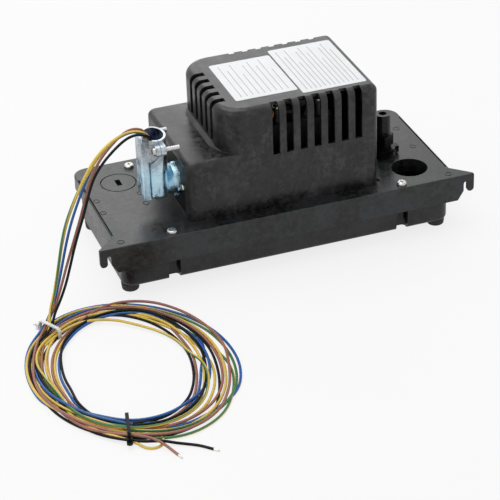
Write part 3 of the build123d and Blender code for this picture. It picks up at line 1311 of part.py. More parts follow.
def intake_cover():
    """The plate under the volute, with its eye and a ring of strainer teeth."""
    bottom = VOLUTE_BOTTOM - INTAKE_PLATE
    plate = post(MOTOR_X, MOTOR_Y, bottom, VOLUTE_BOTTOM, VOLUTE_RADIUS + VOLUTE_WALL)
    for x, y in volute_lug_places():
        plate += post(x, y, bottom, VOLUTE_BOTTOM, VOLUTE_LUG_RADIUS)
        turn = math.degrees(math.atan2(y - MOTOR_Y, x - MOTOR_X))
        web = Location((VOLUTE_LUG_REACH / 2, 0, (bottom + VOLUTE_BOTTOM) / 2)) * Box(
            VOLUTE_LUG_REACH, 2 * VOLUTE_LUG_RADIUS, INTAKE_PLATE
        )
        plate += Location((MOTOR_X, MOTOR_Y, 0), (0, 0, turn)) * web
    for number in range(INTAKE_LEGS):
        angle = math.radians(360 / INTAKE_LEGS * (number + 0.5))
        x = MOTOR_X + (INTAKE_EYE + 6) * math.cos(angle)
        y = MOTOR_Y + (INTAKE_EYE + 6) * math.sin(angle)
        plate += post(x, y, bottom - INTAKE_LEG_HEIGHT, bottom, 2.2)
    plate -= post(MOTOR_X, MOTOR_Y, bottom, VOLUTE_BOTTOM, INTAKE_EYE)
    for x, y in volute_lug_places():
        plate -= post(x, y, bottom, VOLUTE_BOTTOM, SMALL_SCREW_CORE + HOLE_CLEARANCE)
    return plate


def volute_screws():
    """Screws from below through cover and volute into the lid's pillars."""
    length = LID_UNDER - VOLUTE_BOTTOM + INTAKE_PLATE - 3
    screws = []
    for x, y in volute_lug_places():
        up = pan_screw(0, 0, 0, SMALL_SCREW_CORE, length, SMALL_SCREW_HEAD, SMALL_SCREW_HEAD_HEIGHT)
        screws.append(Location((x, y, VOLUTE_BOTTOM - INTAKE_PLATE), (180, 0, 0)) * up)
    return Compound(children=screws)


def impeller():
    """An open impeller with bowed vanes under a thin plate."""
    plate_top = VOLUTE_TOP - VOLUTE_WALL - IMPELLER_CLEARANCE
    plate_bottom = plate_top - IMPELLER_PLATE
    vane_bottom = VOLUTE_BOTTOM + IMPELLER_CLEARANCE
    wheel = post(0, 0, plate_bottom, plate_top, IMPELLER_RADIUS)
    vane = curved_blade(IMPELLER_HUB + 2, IMPELLER_RADIUS, BLADE_THICKNESS, vane_bottom, plate_bottom, 17)
    for number in range(IMPELLER_BLADES):
        wheel += Rotation(0, 0, 360 / IMPELLER_BLADES * number) * vane
    wheel += post(0, 0, vane_bottom + 3, plate_top, IMPELLER_HUB)
    wheel -= post(0, 0, SHAFT_BOTTOM, plate_top, SHAFT_RADIUS)
    return Location((MOTOR_X, MOTOR_Y, 0)) * wheel


def shaft_bush():
    """The flanged bush in the lid that the shaft passes through."""
    bush = post(MOTOR_X, MOTOR_Y, LID_UNDER - 2, LID_TOP, BUSH_RADIUS)
    bush += post(MOTOR_X, MOTOR_Y, LID_TOP, LID_TOP + BUSH_FLANGE_HEIGHT, BUSH_FLANGE)
    return bush - post(
        MOTOR_X, MOTOR_Y, LID_UNDER - 2, LID_TOP + BUSH_FLANGE_HEIGHT, SHAFT_RADIUS + RUNNING_CLEARANCE
    )


def discharge_tube():
    """The riser from the volute's outlet to the underside of the check valve."""
    start = tube_start()
    end = (VALVE_X, VALVE_Y, LID_UNDER - VALVE_FLANGE_HEIGHT)
    path = FilletPolyline(start, (VALVE_X, VALVE_Y, TUBE_Z), end, radius=TUBE_BEND)
    ring = Circle(TUBE_RADIUS) - Circle(TUBE_BORE)
    return sweep(Plane(origin=path @ 0, z_dir=path % 0) * ring, path=path)


# Check valve


def valve_neck_top():
    return LID_TOP + VALVE_FLANGE_HEIGHT + VALVE_NECK_HEIGHT


def valve_body():
    """The valve's housing: a stem through the lid, a flange, a neck and a square collar."""
    flange_top = LID_TOP + VALVE_FLANGE_HEIGHT
    neck_top = valve_neck_top()
    collar_top = neck_top + VALVE_COLLAR_HEIGHT
    body = post(VALVE_X, VALVE_Y, LID_UNDER - VALVE_FLANGE_HEIGHT, LID_TOP, VALVE_STEM)
    body += post(VALVE_X, VALVE_Y, LID_TOP, flange_top, VALVE_FLANGE)
    body += post(VALVE_X, VALVE_Y, flange_top, neck_top, VALVE_CAVITY + 1.3)
    square = RectangleRounded(VALVE_COLLAR_SIDE, VALVE_COLLAR_SIDE, VALVE_COLLAR_CORNER)
    collar = extrude(Location((VALVE_X, VALVE_Y, neck_top), (0, 0, VALVE_COLLAR_TURN)) * square, collar_top - neck_top)
    body += collar
    seat_z = flange_top
    body -= post(VALVE_X, VALVE_Y, LID_UNDER - VALVE_FLANGE_HEIGHT, seat_z, VALVE_SEAT_BORE)
    body -= post(VALVE_X, VALVE_Y, seat_z, collar_top, VALVE_CAVITY)
    return body


def valve_seal():
    """The rubber ring under the valve's flange, round its stem below the lid."""
    z0 = LID_UNDER - 1.6
    ring = post(VALVE_X, VALVE_Y, z0, LID_UNDER, VALVE_STEM + 1.8)
    return ring - post(VALVE_X, VALVE_Y, z0, LID_UNDER, VALVE_STEM + HOLE_CLEARANCE)


def valve_poppet():
    """The plate that lifts off the seat when the pump runs, on a guide stem."""
    seat_z = LID_TOP + VALVE_FLANGE_HEIGHT
    plate = post(VALVE_X, VALVE_Y, seat_z, seat_z + POPPET_THICKNESS, POPPET_RADIUS)
    plate = chamfer(plate.edges().sort_by(Axis.Z)[-1], 0.6)
    guide_bottom = valve_neck_top() + VALVE_COLLAR_HEIGHT - SPIGOT_PLUG_DEPTH
    stem_top = guide_bottom + POPPET_GUIDE_LENGTH + POPPET_STEM_PAST_GUIDE
    return plate + post(VALVE_X, VALVE_Y, seat_z + 1, stem_top, POPPET_STEM)


def discharge_spigot():
    """The spigot in the top of the valve, with the poppet's guide below it."""
    collar_top = valve_neck_top() + VALVE_COLLAR_HEIGHT
    spigot = post(VALVE_X, VALVE_Y, collar_top, SPIGOT_TOP, SPIGOT_RADIUS)
    plug_bottom = collar_top - SPIGOT_PLUG_DEPTH
    spigot += post(VALVE_X, VALVE_Y, plug_bottom, collar_top, VALVE_CAVITY - HOLE_CLEARANCE)
    guide_top = plug_bottom + POPPET_GUIDE_LENGTH
    spigot -= post(VALVE_X, VALVE_Y, guide_top, SPIGOT_TOP, SPIGOT_BORE)
    guide = POPPET_STEM + RUNNING_CLEARANCE
    spigot -= post(VALVE_X, VALVE_Y, plug_bottom, guide_top, guide)
    for number in range(3):
        angle = math.radians(120 * number)
        reach = VALVE_CAVITY * 0.62
        x = VALVE_X + reach * math.cos(angle)
        y = VALVE_Y + reach * math.sin(angle)
        spigot -= post(x, y, plug_bottom, guide_top + 0.5, POPPET_STEM)
    return spigot


def valve_clip():
    """The sliding horseshoe clip that locks the valve, with a thumb tail to the right."""
    z0 = LID_TOP + VALVE_FLANGE_HEIGHT + 1.2
    z1 = z0 + CLIP_THICKNESS
    neck = VALVE_CAVITY + 1.3 + CLIP_GAP
    clip = post(VALVE_X, VALVE_Y, z0, z1, CLIP_RADIUS)
    clip -= post(VALVE_X, VALVE_Y, z0, z1, neck)
    clip -= block(VALVE_X - CLIP_RADIUS - 1, VALVE_X, VALVE_Y - neck, VALVE_Y + neck, z0, z1)
    tail_x = VALVE_X + CLIP_TAIL
    half = CLIP_TAIL_WIDTH / 2
    clip += block(VALVE_X + neck + 0.6, tail_x, VALVE_Y - half, VALVE_Y + half, z0, z1)
    clip += block(tail_x - 1.8, tail_x, VALVE_Y - half, VALVE_Y + half, LID_TOP + CLIP_TAIL_DROP, z1)
    return clip


# Float, lever and switches


def float_body():
    bottom = TANK_FLOOR + FLOAT_FLOOR_GAP
    x0 = FLOAT_CENTRE_X - FLOAT_LENGTH / 2
    y0 = FLOAT_CENTRE_Y - FLOAT_WIDTH / 2
    body = rounded_plate(
        x0, x0 + FLOAT_LENGTH, y0, y0 + FLOAT_WIDTH, bottom, bottom + FLOAT_HEIGHT, FLOAT_CORNER
    )
    body = fillet(body.faces().sort_by(Axis.Z)[0].edges() + body.faces().sort_by(Axis.Z)[-1].edges(), 1.5)
    top = bottom + FLOAT_HEIGHT
    body += post(ROD_X, ROD_Y, top, top + FLOAT_HUB_HEIGHT, FLOAT_HUB)
    return body - post(ROD_X, ROD_Y, top - 4, top + FLOAT_HUB_HEIGHT, ROD_RADIUS)


def float_rod():
    bottom = TANK_FLOOR + FLOAT_FLOOR_GAP + FLOAT_HEIGHT - 4
    rod = post(ROD_X, ROD_Y, bottom, ROD_TOP, ROD_RADIUS)
    return fillet(rod.edges().sort_by(Axis.Z)[-1], 1.2)


def switch_lever():
    """The sheet lever that the float rod lifts: an eye at the pivot and a flat arm."""
    half = LEVER_WIDTH / 2 - 0.5
    lever = block(
        ROD_X - half, ROD_X + half, PIVOT_Y, ROD_Y + LEVER_TIP, LEVER_BOTTOM, LEVER_TOP
    )
    lever -= block(ROD_X - half + 5, ROD_X + half - 5, PIVOT_Y + 7, ROD_Y - 6, LEVER_BOTTOM, LEVER_TOP)
    lever += bar_x(ROD_X - half, ROD_X + half, PIVOT_Y, PIVOT_Z, PIN_EYE)
    lever -= bar_x(ROD_X - half, ROD_X + half, PIVOT_Y, PIVOT_Z, PIN_RADIUS + RUNNING_CLEARANCE)
    return lever


def lever_pin():
    """The pin through the lever's eye, held in the two cheeks of the switch bracket."""
    half = LEVER_WIDTH / 2 + BRACKET_SHEET
    return bar_x(ROD_X - half, ROD_X + half, PIVOT_Y, PIVOT_Z, PIN_RADIUS)


def switch_bracket():
    """The folded sheet bracket: two cheeks for the pin, a cheek for the switches and feet."""
    half = LEVER_WIDTH / 2
    back = PIVOT_Y - SWITCH_LENGTH + 2
    right0 = SWITCH_PLATE_X
    right1 = right0 + BRACKET_SHEET
    top = SWITCH_BOTTOM + SWITCH_HEIGHT
    cheek_front = PIVOT_Y + 5
    bracket = block(right0, right1, back, cheek_front, LID_TOP, top)
    left1 = ROD_X - half
    left0 = left1 - BRACKET_SHEET
    bracket += block(left0, left1, PIVOT_Y - 5, cheek_front, LID_TOP, PIVOT_Z + 4)
    bracket += block(left0, right1, PIVOT_Y - 5, cheek_front, LID_TOP, LID_TOP + BRACKET_SHEET)
    bracket += block(right0, right1 + SWITCH_FOOT, back, back + 14, LID_TOP, LID_TOP + BRACKET_SHEET)
    bracket -= bar_x(left0 - 1, right1 + 1, PIVOT_Y, PIVOT_Z, PIN_RADIUS + HOLE_CLEARANCE)
    for y, z in switch_screw_places():
        bracket -= bar_x(right0 - 1, right1 + 1, y, z, SMALL_SCREW_CORE + HOLE_CLEARANCE)
    bracket -= post(right1 + SWITCH_FOOT / 2, back + 7, LID_TOP, LID_TOP + BRACKET_SHEET, SMALL_SCREW_CORE)
    return bracket


def switch_screw_places():
    z = SWITCH_BOTTOM + SWITCH_HEIGHT - 4
    return ((SWITCH_FRONT - 6, z), (SWITCH_FRONT - SWITCH_LENGTH + 5, z))


def micro_switch(name):
    x = SWITCH_XS[name]
    half = SWITCH_WIDTH / 2
    back = SWITCH_FRONT - SWITCH_LENGTH
    top = SWITCH_BOTTOM + SWITCH_HEIGHT
    body = block(x - half, x + half, back, SWITCH_FRONT, SWITCH_BOTTOM, top)
    body = fillet(body.edges().filter_by(Axis.X), 1)
    slot = PLUNGER_WIDTH / 2 + 0.1
    body -= block(
        x - slot, x + slot, PLUNGER_Y - slot, PLUNGER_Y + slot, SWITCH_BOTTOM, SWITCH_BOTTOM + PLUNGER_INSIDE + 2.2
    )
    for y, z in switch_screw_places():
        body -= bar_x(x - half, x + half, y, z, SMALL_SCREW_CORE + HOLE_CLEARANCE)
    for share in (0.2, 0.5, 0.8):
        y = back + SWITCH_LENGTH * share
        body += block(
            x - SWITCH_TERMINAL_THICKNESS / 2,
            x + SWITCH_TERMINAL_THICKNESS / 2,
            y - SWITCH_TERMINAL_WIDTH / 2,
            y + SWITCH_TERMINAL_WIDTH / 2,
            top,
            top + SWITCH_TERMINAL_LENGTH,
        )
    return body


def run_switch():
    return micro_switch("run_switch")


def overflow_switch():
    return micro_switch("overflow_switch")


def switch_spacer():
    """The collar pair that holds the two switches apart, on the switch screws."""
    x0 = SWITCH_XS["run_switch"] + SWITCH_WIDTH / 2
    x1 = SWITCH_XS["overflow_switch"] - SWITCH_WIDTH / 2
    spacers = []
    for y, z in switch_screw_places():
        tube = bar_x(x0, x1, y, z, 2.6) - bar_x(x0, x1, y, z, SMALL_SCREW_CORE + HOLE_CLEARANCE)
        spacers.append(tube)
    return Compound(children=spacers)


def switch_screws():
    screws = []
    start = ROD_X - LEVER_WIDTH / 2
    length = LEVER_WIDTH + BRACKET_SHEET + 2
    for y, z in switch_screw_places():
        screw = pan_screw(0, 0, 0, SMALL_SCREW_CORE, length, SMALL_SCREW_HEAD, SMALL_SCREW_HEAD_HEIGHT)
        screws.append(Location((start, y, z), (0, -90, 0)) * screw)
    return Compound(children=screws)


def plunger(name, reach):
    """The small square button under a switch, just clear of the lever."""
    x = SWITCH_XS[name]
    half = PLUNGER_WIDTH / 2
    z0 = SWITCH_BOTTOM - reach
    button = block(
        x - half, x + half, PLUNGER_Y - half, PLUNGER_Y + half, z0, SWITCH_BOTTOM + PLUNGER_INSIDE
    )
    return fillet(button.faces().sort_by(Axis.Z)[0].edges(), 0.5)


def run_button():
    return plunger("run_switch", RUN_PLUNGER_REACH)


def overflow_button():
    return plunger("overflow_switch", OVERFLOW_PLUNGER_REACH)


# Wires


def lead_points(name):
    """The route of one lead, set across from the middle of the mouth by its place in the row."""
    shift = LEAD_SHIFTS[name] * LEAD_PITCH
    route = LEAD_ROUTES[name]
    heading = math.radians(LEAD_DIRECTION)
    ahead = (math.cos(heading), math.sin(heading))
    across = (-math.sin(heading), math.cos(heading))
    points = []
    last = len(route) - 1
    for number, (out, side, height) in enumerate(route):
        before = route[max(number - 1, 0)]
        after = route[min(number + 1, last)]
        turn = math.atan2(after[1] - before[1], max(after[0] - before[0], 0.01))
        along = out - shift * math.sin(turn)
        sideways = side + shift * math.cos(turn)
        x = MOUTH_X + along * ahead[0] + sideways * across[0]
        y = ELBOW_Y + along * ahead[1] + sideways * across[1]
        points.append((x, y, height))
    return points


def wire_tube(name, points):
    radii = corner_radii(points)
    tube = tube_along(points, radii, WIRE_DIAMETER / 2)
    length = tube.volume / (math.pi * WIRE_DIAMETER**2 / 4)
    print(name, "radii", [round(r, 1) for r in radii], "length", round(length, 1))
    return tube


def wire_coil():
    """The loose coil as one flat ring, with its hole off centre."""
    outer = Location((COIL_X, COIL_Y, 0), (0, 0, COIL_TILT)) * Ellipse(COIL_HALF_X, COIL_HALF_Y)
    hole = Location((HOLE_X, HOLE_Y, 0)) * Ellipse(HOLE_HALF_X, HOLE_HALF_Y)
    ring = extrude(outer - hole, COIL_HEIGHT)
    ring = fillet(ring.faces().sort_by(Axis.Z)[-1].edges(), COIL_ROUND)
    ring = Location((0, 0, TIE_THICKNESS)) * ring
    return ring - white_tie() - black_tie()


def coil_band(angle):
    """Where a ray from the hole's centre enters and leaves the coil's band."""
    a = math.radians(angle)
    dx, dy = math.cos(a), math.sin(a)
    inner = 1 / math.sqrt((dx / HOLE_HALF_X) ** 2 + (dy / HOLE_HALF_Y) ** 2)
    tilt = math.radians(COIL_TILT)
    low, high = inner, 4 * COIL_HALF_Y
    for _ in range(50):
        middle = (low + high) / 2
        px = HOLE_X + middle * dx - COIL_X
        py = HOLE_Y + middle * dy - COIL_Y
        u = px * math.cos(tilt) + py * math.sin(tilt)
        v = -px * math.sin(tilt) + py * math.cos(tilt)
        inside = (u / COIL_HALF_X) ** 2 + (v / COIL_HALF_Y) ** 2 < 1
        low, high = (middle, high) if inside else (low, middle)
    return inner, low


def cable_tie(angle):
    """A tie round the coil's band: a strap, its square head at the outer side and the cut tail."""
    inner, outer = coil_band(angle)
    width = outer - inner
    tall = COIL_HEIGHT + 2 * TIE_THICKNESS
    strap = Box(width + 2 * TIE_THICKNESS, TIE_WIDTH, tall)
    strap = fillet(strap.edges().filter_by(Axis.Y), COIL_ROUND + TIE_THICKNESS)
    hollow = Box(width, TIE_WIDTH, COIL_HEIGHT)
    strap -= fillet(hollow.edges().filter_by(Axis.Y), COIL_ROUND)
    head_x = width / 2 + TIE_THICKNESS / 2 + TIE_HEAD_DEPTH / 2
    head = Location((head_x, 0, -TIE_HEAD_DROP)) * Box(TIE_HEAD_DEPTH, TIE_HEAD - 0.8, TIE_HEAD)
    tail_x = head_x + TIE_HEAD_DEPTH / 2 + TIE_TAIL / 2
    tail = Location((tail_x, 0, -TIE_HEAD_DROP)) * Box(TIE_TAIL + 1, TIE_WIDTH, 1.2)
    middle = (inner + outer) / 2
    a = math.radians(angle)
    place = Location((HOLE_X + middle * math.cos(a), HOLE_Y + middle * math.sin(a), tall / 2), (0, 0, angle))
    return place * (strap + head + tail)


def white_tie():
    return cable_tie(WHITE_TIE_ANGLE)


def black_tie():
    return cable_tie(BLACK_TIE_ANGLE)


def inner_leads():
    """Two leads that run inside the cover, from the nipple to the winding and to the run switch."""
    entry_x = COVER_LEFT + NIPPLE_INSIDE
    winding_x = MOTOR_X - STACK_LEFT + STACK_LEG / 2
    winding_top = STACK_TOP + BOBBIN_WALL + WINDING_DEPTH
    bolt_x = MOTOR_X - BOLT_SPACING_X / 2
    lane_y = (COVER_WALL - COVER_DEPTH / 2 - STACK_HALF_DEPTH) / 2
    motor_lead = [
        (entry_x, ELBOW_Y - 4, ELBOW_Z + 4),
        (entry_x + 5, ELBOW_Y - 10, ELBOW_Z + 8),
        (entry_x + 16, ELBOW_Y - 14, ELBOW_Z + 14),
        (winding_x - 19, lane_y + 3, STACK_BOTTOM + 8),
        (winding_x - 7, lane_y + 2, STACK_TOP - 7),
        (bolt_x - 20, lane_y - 1, STACK_TOP + 9),
        (bolt_x - 5, -STACK_HALF_DEPTH - 4, STACK_TOP + 13),
        (bolt_x - 8, -STACK_HALF_DEPTH + 12, winding_top + 3.5),
        (bolt_x - 22, -STACK_HALF_DEPTH + 17, winding_top + 2.2),
        (winding_x + 3, -STACK_HALF_DEPTH + 21, winding_top + 1.4),
    ]
    return tube_along(motor_lead, corner_radii(motor_lead), INNER_LEAD_RADIUS)


NODES = {
    "tank": tank,
    "rubber_feet": rubber_feet,
    "tank_gasket": tank_gasket,
    "lid": lid,
    "lid_screws": lid_screws,
    "inlet_plug": inlet_plug,
    "plug_seal": plug_seal,
    "motor_cover": motor_cover,
    "cover_screws": cover_screws,
    "wiring_panel": wiring_panel,
    "panel_screws": panel_screws,
    "elbow_body": elbow_body,
    "elbow_clamp": elbow_clamp,
    "clamp_screws": clamp_screws,
    "locknut": locknut,
    "wire_bushing": wire_bushing,
    "stator_stack": stator_stack,
    "coil_bobbin": coil_bobbin,
    "motor_winding": motor_winding,
    "upper_bracket": upper_bracket,
    "lower_bracket": lower_bracket,
    "upper_bearing": upper_bearing,
    "lower_bearing": lower_bearing,
    "motor_bolts": motor_bolts,
    "rotor": rotor,
    "motor_shaft": motor_shaft,
    "cooling_fan": cooling_fan,
    "volute": volute,
    "intake_cover": intake_cover,
    "volute_screws": volute_screws,
    "impeller": impeller,
    "shaft_bush": shaft_bush,
    "discharge_tube": discharge_tube,
    "valve_body": valve_body,
    "valve_seal": valve_seal,
    "valve_poppet": valve_poppet,
    "discharge_spigot": discharge_spigot,
    "valve_clip": valve_clip,
    "float_body": float_body,
    "float_rod": float_rod,
    "switch_lever": switch_lever,
    "lever_pin": lever_pin,
    "switch_bracket": switch_bracket,
    "run_switch": run_switch,
    "overflow_switch": overflow_switch,
    "switch_spacers": switch_spacer,
    "switch_screws": switch_screws,
    "run_button": run_button,
    "overflow_button": overflow_button,
    "wire_coil": wire_coil,
    "white_tie": white_tie,
    "black_tie": black_tie,
    "inner_lead": inner_leads,
}


def main():
    os.makedirs("parts", exist_ok=True)
    for name, make in NODES.items():
        export_step(make(), f"parts/{name}.step")
    for name in LEAD_SHIFTS:
        export_step(wire_tube(name, lead_points(name)), f"parts/{name}.step")
    for name, points in TAIL_ROUTES.items():
        export_step(wire_tube(name, points), f"parts/{name}.step")


main()
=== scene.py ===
"""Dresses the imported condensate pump: leads, labels, finishes, stage and camera, all in metres."""

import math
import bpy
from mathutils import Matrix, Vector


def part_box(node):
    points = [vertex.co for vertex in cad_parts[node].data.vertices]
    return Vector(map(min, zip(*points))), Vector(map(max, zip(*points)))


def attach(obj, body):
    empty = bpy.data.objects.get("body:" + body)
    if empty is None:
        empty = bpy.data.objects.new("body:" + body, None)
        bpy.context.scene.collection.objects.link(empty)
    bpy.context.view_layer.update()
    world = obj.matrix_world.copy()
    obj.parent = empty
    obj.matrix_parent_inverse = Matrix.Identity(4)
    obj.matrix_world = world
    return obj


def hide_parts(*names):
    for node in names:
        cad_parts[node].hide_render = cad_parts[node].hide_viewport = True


bl_info = {
    "name": "Condensate Pump Dressing",
    "version": (1, 0, 0),
    "blender": (4, 5, 0),
    "location": "3D View > Sidebar > Pump",
    "description": "Adds the loose leads, labels, finishes and studio to the packed condensate pump",
    "category": "Object",
}

import bmesh
import bpy
from mathutils import Matrix, Vector

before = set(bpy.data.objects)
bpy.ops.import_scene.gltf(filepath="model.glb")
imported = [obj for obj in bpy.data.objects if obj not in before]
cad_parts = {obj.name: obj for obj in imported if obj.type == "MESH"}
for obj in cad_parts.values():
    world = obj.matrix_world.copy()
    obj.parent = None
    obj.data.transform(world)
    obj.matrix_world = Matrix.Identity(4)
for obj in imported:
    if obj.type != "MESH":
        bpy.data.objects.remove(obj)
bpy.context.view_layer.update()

# The photograph's camera, in metres and degrees
CAMERA_PLACE = (-0.4977, -1.4181, 0.8789)
CAMERA_TARGET = (-0.05116, -0.11073, 0.0485)
CAMERA_ROLL = -2.08
CAMERA_LENS = 149.64

# Each lead's way from the elbow's mouth to the coil
LEADS = {
    "wire_blue": [
        (-0.1007, -0.0195, 0.1080), (-0.1007, -0.0195, 0.1125), (-0.1018, -0.0201, 0.1163), (-0.1039, -0.0211, 0.1186),
        (-0.1088, -0.0235, 0.1218), (-0.1179, -0.0280, 0.1254), (-0.1267, -0.0324, 0.1260), (-0.1365, -0.0372, 0.1242),
        (-0.1452, -0.0415, 0.1206), (-0.1522, -0.0450, 0.1154), (-0.1601, -0.0489, 0.1055), (-0.1652, -0.0514, 0.0975),
        (-0.1712, -0.0544, 0.0872), (-0.1772, -0.0574, 0.0760), (-0.1823, -0.0599, 0.0639), (-0.1863, -0.0619, 0.0520),
        (-0.1903, -0.0639, 0.0390), (-0.1952, -0.0685, 0.0270), (-0.2005, -0.0753, 0.0194), (-0.2070, -0.0844, 0.0135),
    ],
    "wire_brown": [
        (-0.1005, -0.0222, 0.1080), (-0.1005, -0.0222, 0.1122), (-0.1025, -0.0232, 0.1169), (-0.1075, -0.0257, 0.1242),
        (-0.1146, -0.0292, 0.1285), (-0.1217, -0.0327, 0.1297), (-0.1278, -0.0357, 0.1283), (-0.1341, -0.0388, 0.1256),
        (-0.1416, -0.0425, 0.1215), (-0.1485, -0.0460, 0.1164), (-0.1537, -0.0486, 0.1106), (-0.1584, -0.0509, 0.1032),
        (-0.1623, -0.0528, 0.0949), (-0.1662, -0.0547, 0.0856), (-0.1704, -0.0568, 0.0754), (-0.1755, -0.0593, 0.0642),
        (-0.1809, -0.0620, 0.0526), (-0.1865, -0.0648, 0.0403), (-0.1920, -0.0694, 0.0295), (-0.1989, -0.0767, 0.0189),
        (-0.2063, -0.0855, 0.0131),
    ],
    "wire_yellow": [
        (-0.1003, -0.0249, 0.1080), (-0.1003, -0.0249, 0.1122), (-0.1026, -0.0260, 0.1172), (-0.1065, -0.0279, 0.1220),
        (-0.1114, -0.0304, 0.1258), (-0.1191, -0.0342, 0.1293), (-0.1285, -0.0389, 0.1300), (-0.1375, -0.0433, 0.1282),
        (-0.1455, -0.0473, 0.1246), (-0.1527, -0.0508, 0.1196), (-0.1590, -0.0539, 0.1132), (-0.1669, -0.0578, 0.1056),
        (-0.1727, -0.0608, 0.0978), (-0.1780, -0.0634, 0.0897), (-0.1832, -0.0659, 0.0802), (-0.1875, -0.0681, 0.0694),
        (-0.1912, -0.0699, 0.0574), (-0.1944, -0.0715, 0.0445), (-0.1986, -0.0753, 0.0319), (-0.2032, -0.0809, 0.0223),
        (-0.2082, -0.0878, 0.0150),
    ],
    "wire_green": [
        (-0.0996, -0.0273, 0.1080), (-0.0996, -0.0273, 0.1122), (-0.1022, -0.0286, 0.1174), (-0.1057, -0.0304, 0.1216),
        (-0.1118, -0.0334, 0.1266), (-0.1201, -0.0375, 0.1308), (-0.1296, -0.0422, 0.1320), (-0.1392, -0.0470, 0.1304),
        (-0.1478, -0.0512, 0.1271), (-0.1547, -0.0546, 0.1226), (-0.1610, -0.0577, 0.1167), (-0.1669, -0.0607, 0.1096),
        (-0.1723, -0.0633, 0.1022), (-0.1773, -0.0658, 0.0949), (-0.1823, -0.0683, 0.0868), (-0.1872, -0.0707, 0.0766),
        (-0.1912, -0.0727, 0.0642), (-0.1947, -0.0744, 0.0502), (-0.1983, -0.0762, 0.0366), (-0.2033, -0.0830, 0.0264),
        (-0.2089, -0.0895, 0.0179),
    ],
    "wire_black": [
        (-0.0990, -0.0298, 0.1080), (-0.0990, -0.0298, 0.1122), (-0.1013, -0.0310, 0.1172), (-0.1048, -0.0327, 0.1212),
        (-0.1095, -0.0350, 0.1244), (-0.1152, -0.0378, 0.1275), (-0.1224, -0.0414, 0.1287), (-0.1289, -0.0446, 0.1276),
        (-0.1361, -0.0482, 0.1249), (-0.1447, -0.0524, 0.1203), (-0.1515, -0.0558, 0.1154), (-0.1571, -0.0586, 0.1096),
        (-0.1613, -0.0606, 0.1024), (-0.1653, -0.0626, 0.0927), (-0.1694, -0.0647, 0.0824), (-0.1737, -0.0668, 0.0730),
        (-0.1784, -0.0691, 0.0628), (-0.1823, -0.0711, 0.0530), (-0.1863, -0.0730, 0.0418), (-0.1916, -0.0768, 0.0300),
        (-0.1986, -0.0827, 0.0205), (-0.2055, -0.0893, 0.0142),
    ],
}

# The coil's band on the floor: an outer and an inner ellipse, and the strands between them
COIL_MIDDLE = (-0.165, -0.166)
COIL_HALF = (0.078, 0.099)
COIL_TILT = 10.4
HOLE_MIDDLE = (-0.174, -0.160)
HOLE_HALF = (0.051, 0.072)
COIL_TALL = 0.0084
STRAP_THICK = 0.0011
STEPS_PER_TURN = 18
FIRST_ANGLE = 119.5
LAST_ANGLE = 1339.5
WHITE_TIE_ANGLE = 119.5
BLACK_TIE_ANGLE = 257.0
# Degrees from a tie's middle over which the strands stay on its strap, and then come down to the floor
TIE_FLAT = 8
TIE_FALL = 20
# How far inside its guiding points the smooth line runs
NURBS_SHRINK = 0.985
# How the strands settle: room left between two, share of an overlap undone at once, fall and evening per sweep
STRAND_GAP = 0.00005
PUSH_SHARE = 0.6
FALL = 0.00007
EVENING = 0.12
SWEEPS = 60

# How far the loosest strands hang into the hole, by angle
SLACK = (
    (119.5, 0.0095), (150.0, 0.0095), (195.0, 0.0090), (235.0, 0.0030), (257.0, 0.0), (285.0, 0.0015),
    (330.0, 0.0020), (375.0, 0.0050), (420.0, 0.0095), (450.0, 0.0095), (479.5, 0.0095),
)
# Lanes turn by turn at eight places round the coil: 0 at the hole and 1 outside, below 0 hanging into it
LANE_ANGLES = (119.5, 150.0, 195.0, 240.0, 285.0, 330.0, 375.0, 420.0)
LANES = {
    "wire_blue": [
        (0.76, 1.00, 1.00, 0.14, 0.62, 0.98, 1.00, 0.92),
        (0.90, 0.80, 0.72, 0.03, 0.10, 0.35, 0.40, 0.34),
        (-1.00, -0.85, -0.70, 0.06, 0.24, 0.13, 0.55, 0.80),
        (0.60, 0.62, 0.50, 0.30, 0.30, 0.30, 0.30, 0.30),
    ],
    "wire_yellow": [
        (0.60, 0.86, 0.94, 0.62, 0.66, 0.62, 0.66, 0.60),
        (-0.55, -0.45, -0.35, 0.55, 0.48, 0.41, 0.30, 0.22),
        (0.12, 0.15, 0.10, 0.66, 0.36, 0.19, 0.24, 0.36),
        (0.30, 0.05, 0.20, 0.88, 0.88, 0.88, 0.88, 0.88),
    ],
    "wire_brown": [
        (0.68, 0.60, 0.88, 0.80, 0.84, 0.70, 0.92, 1.12),
        (-0.35, -0.25, -0.10, 0.45, 0.52, 0.58, 0.60, 0.64),
        (0.38, 0.40, 0.50, 0.86, 0.20, 0.06, 0.14, 0.40),
        (0.44, 0.30, 0.62, 0.96, 0.96, 0.96, 0.96, 0.96),
    ],
    "wire_black": [
        (0.44, 0.82, 0.82, 0.95, 0.78, 0.49, 0.56, 0.72),
        (0.74, 0.50, 0.50, 0.30, 0.30, 0.25, 0.36, 0.42),
        (-0.80, -1.00, -0.95, 0.24, 0.06, 0.00, 0.04, 0.12),
        (0.10, 0.46, 0.30, 1.00, 1.00, 1.00, 1.00, 1.00),
    ],
    "wire_green": [
        (0.52, 0.75, 0.78, 0.50, 0.72, 0.83, 0.86, 0.66),
        (0.84, 0.34, 0.44, 0.70, 0.90, 0.76, 0.50, 0.20),
        (0.20, 0.66, 0.22, 0.58, 0.42, 0.28, -0.20, -0.90),
        (0.04, 0.54, 0.26, 0.46, 0.46, 0.46, 0.46, 0.46),
    ],
}
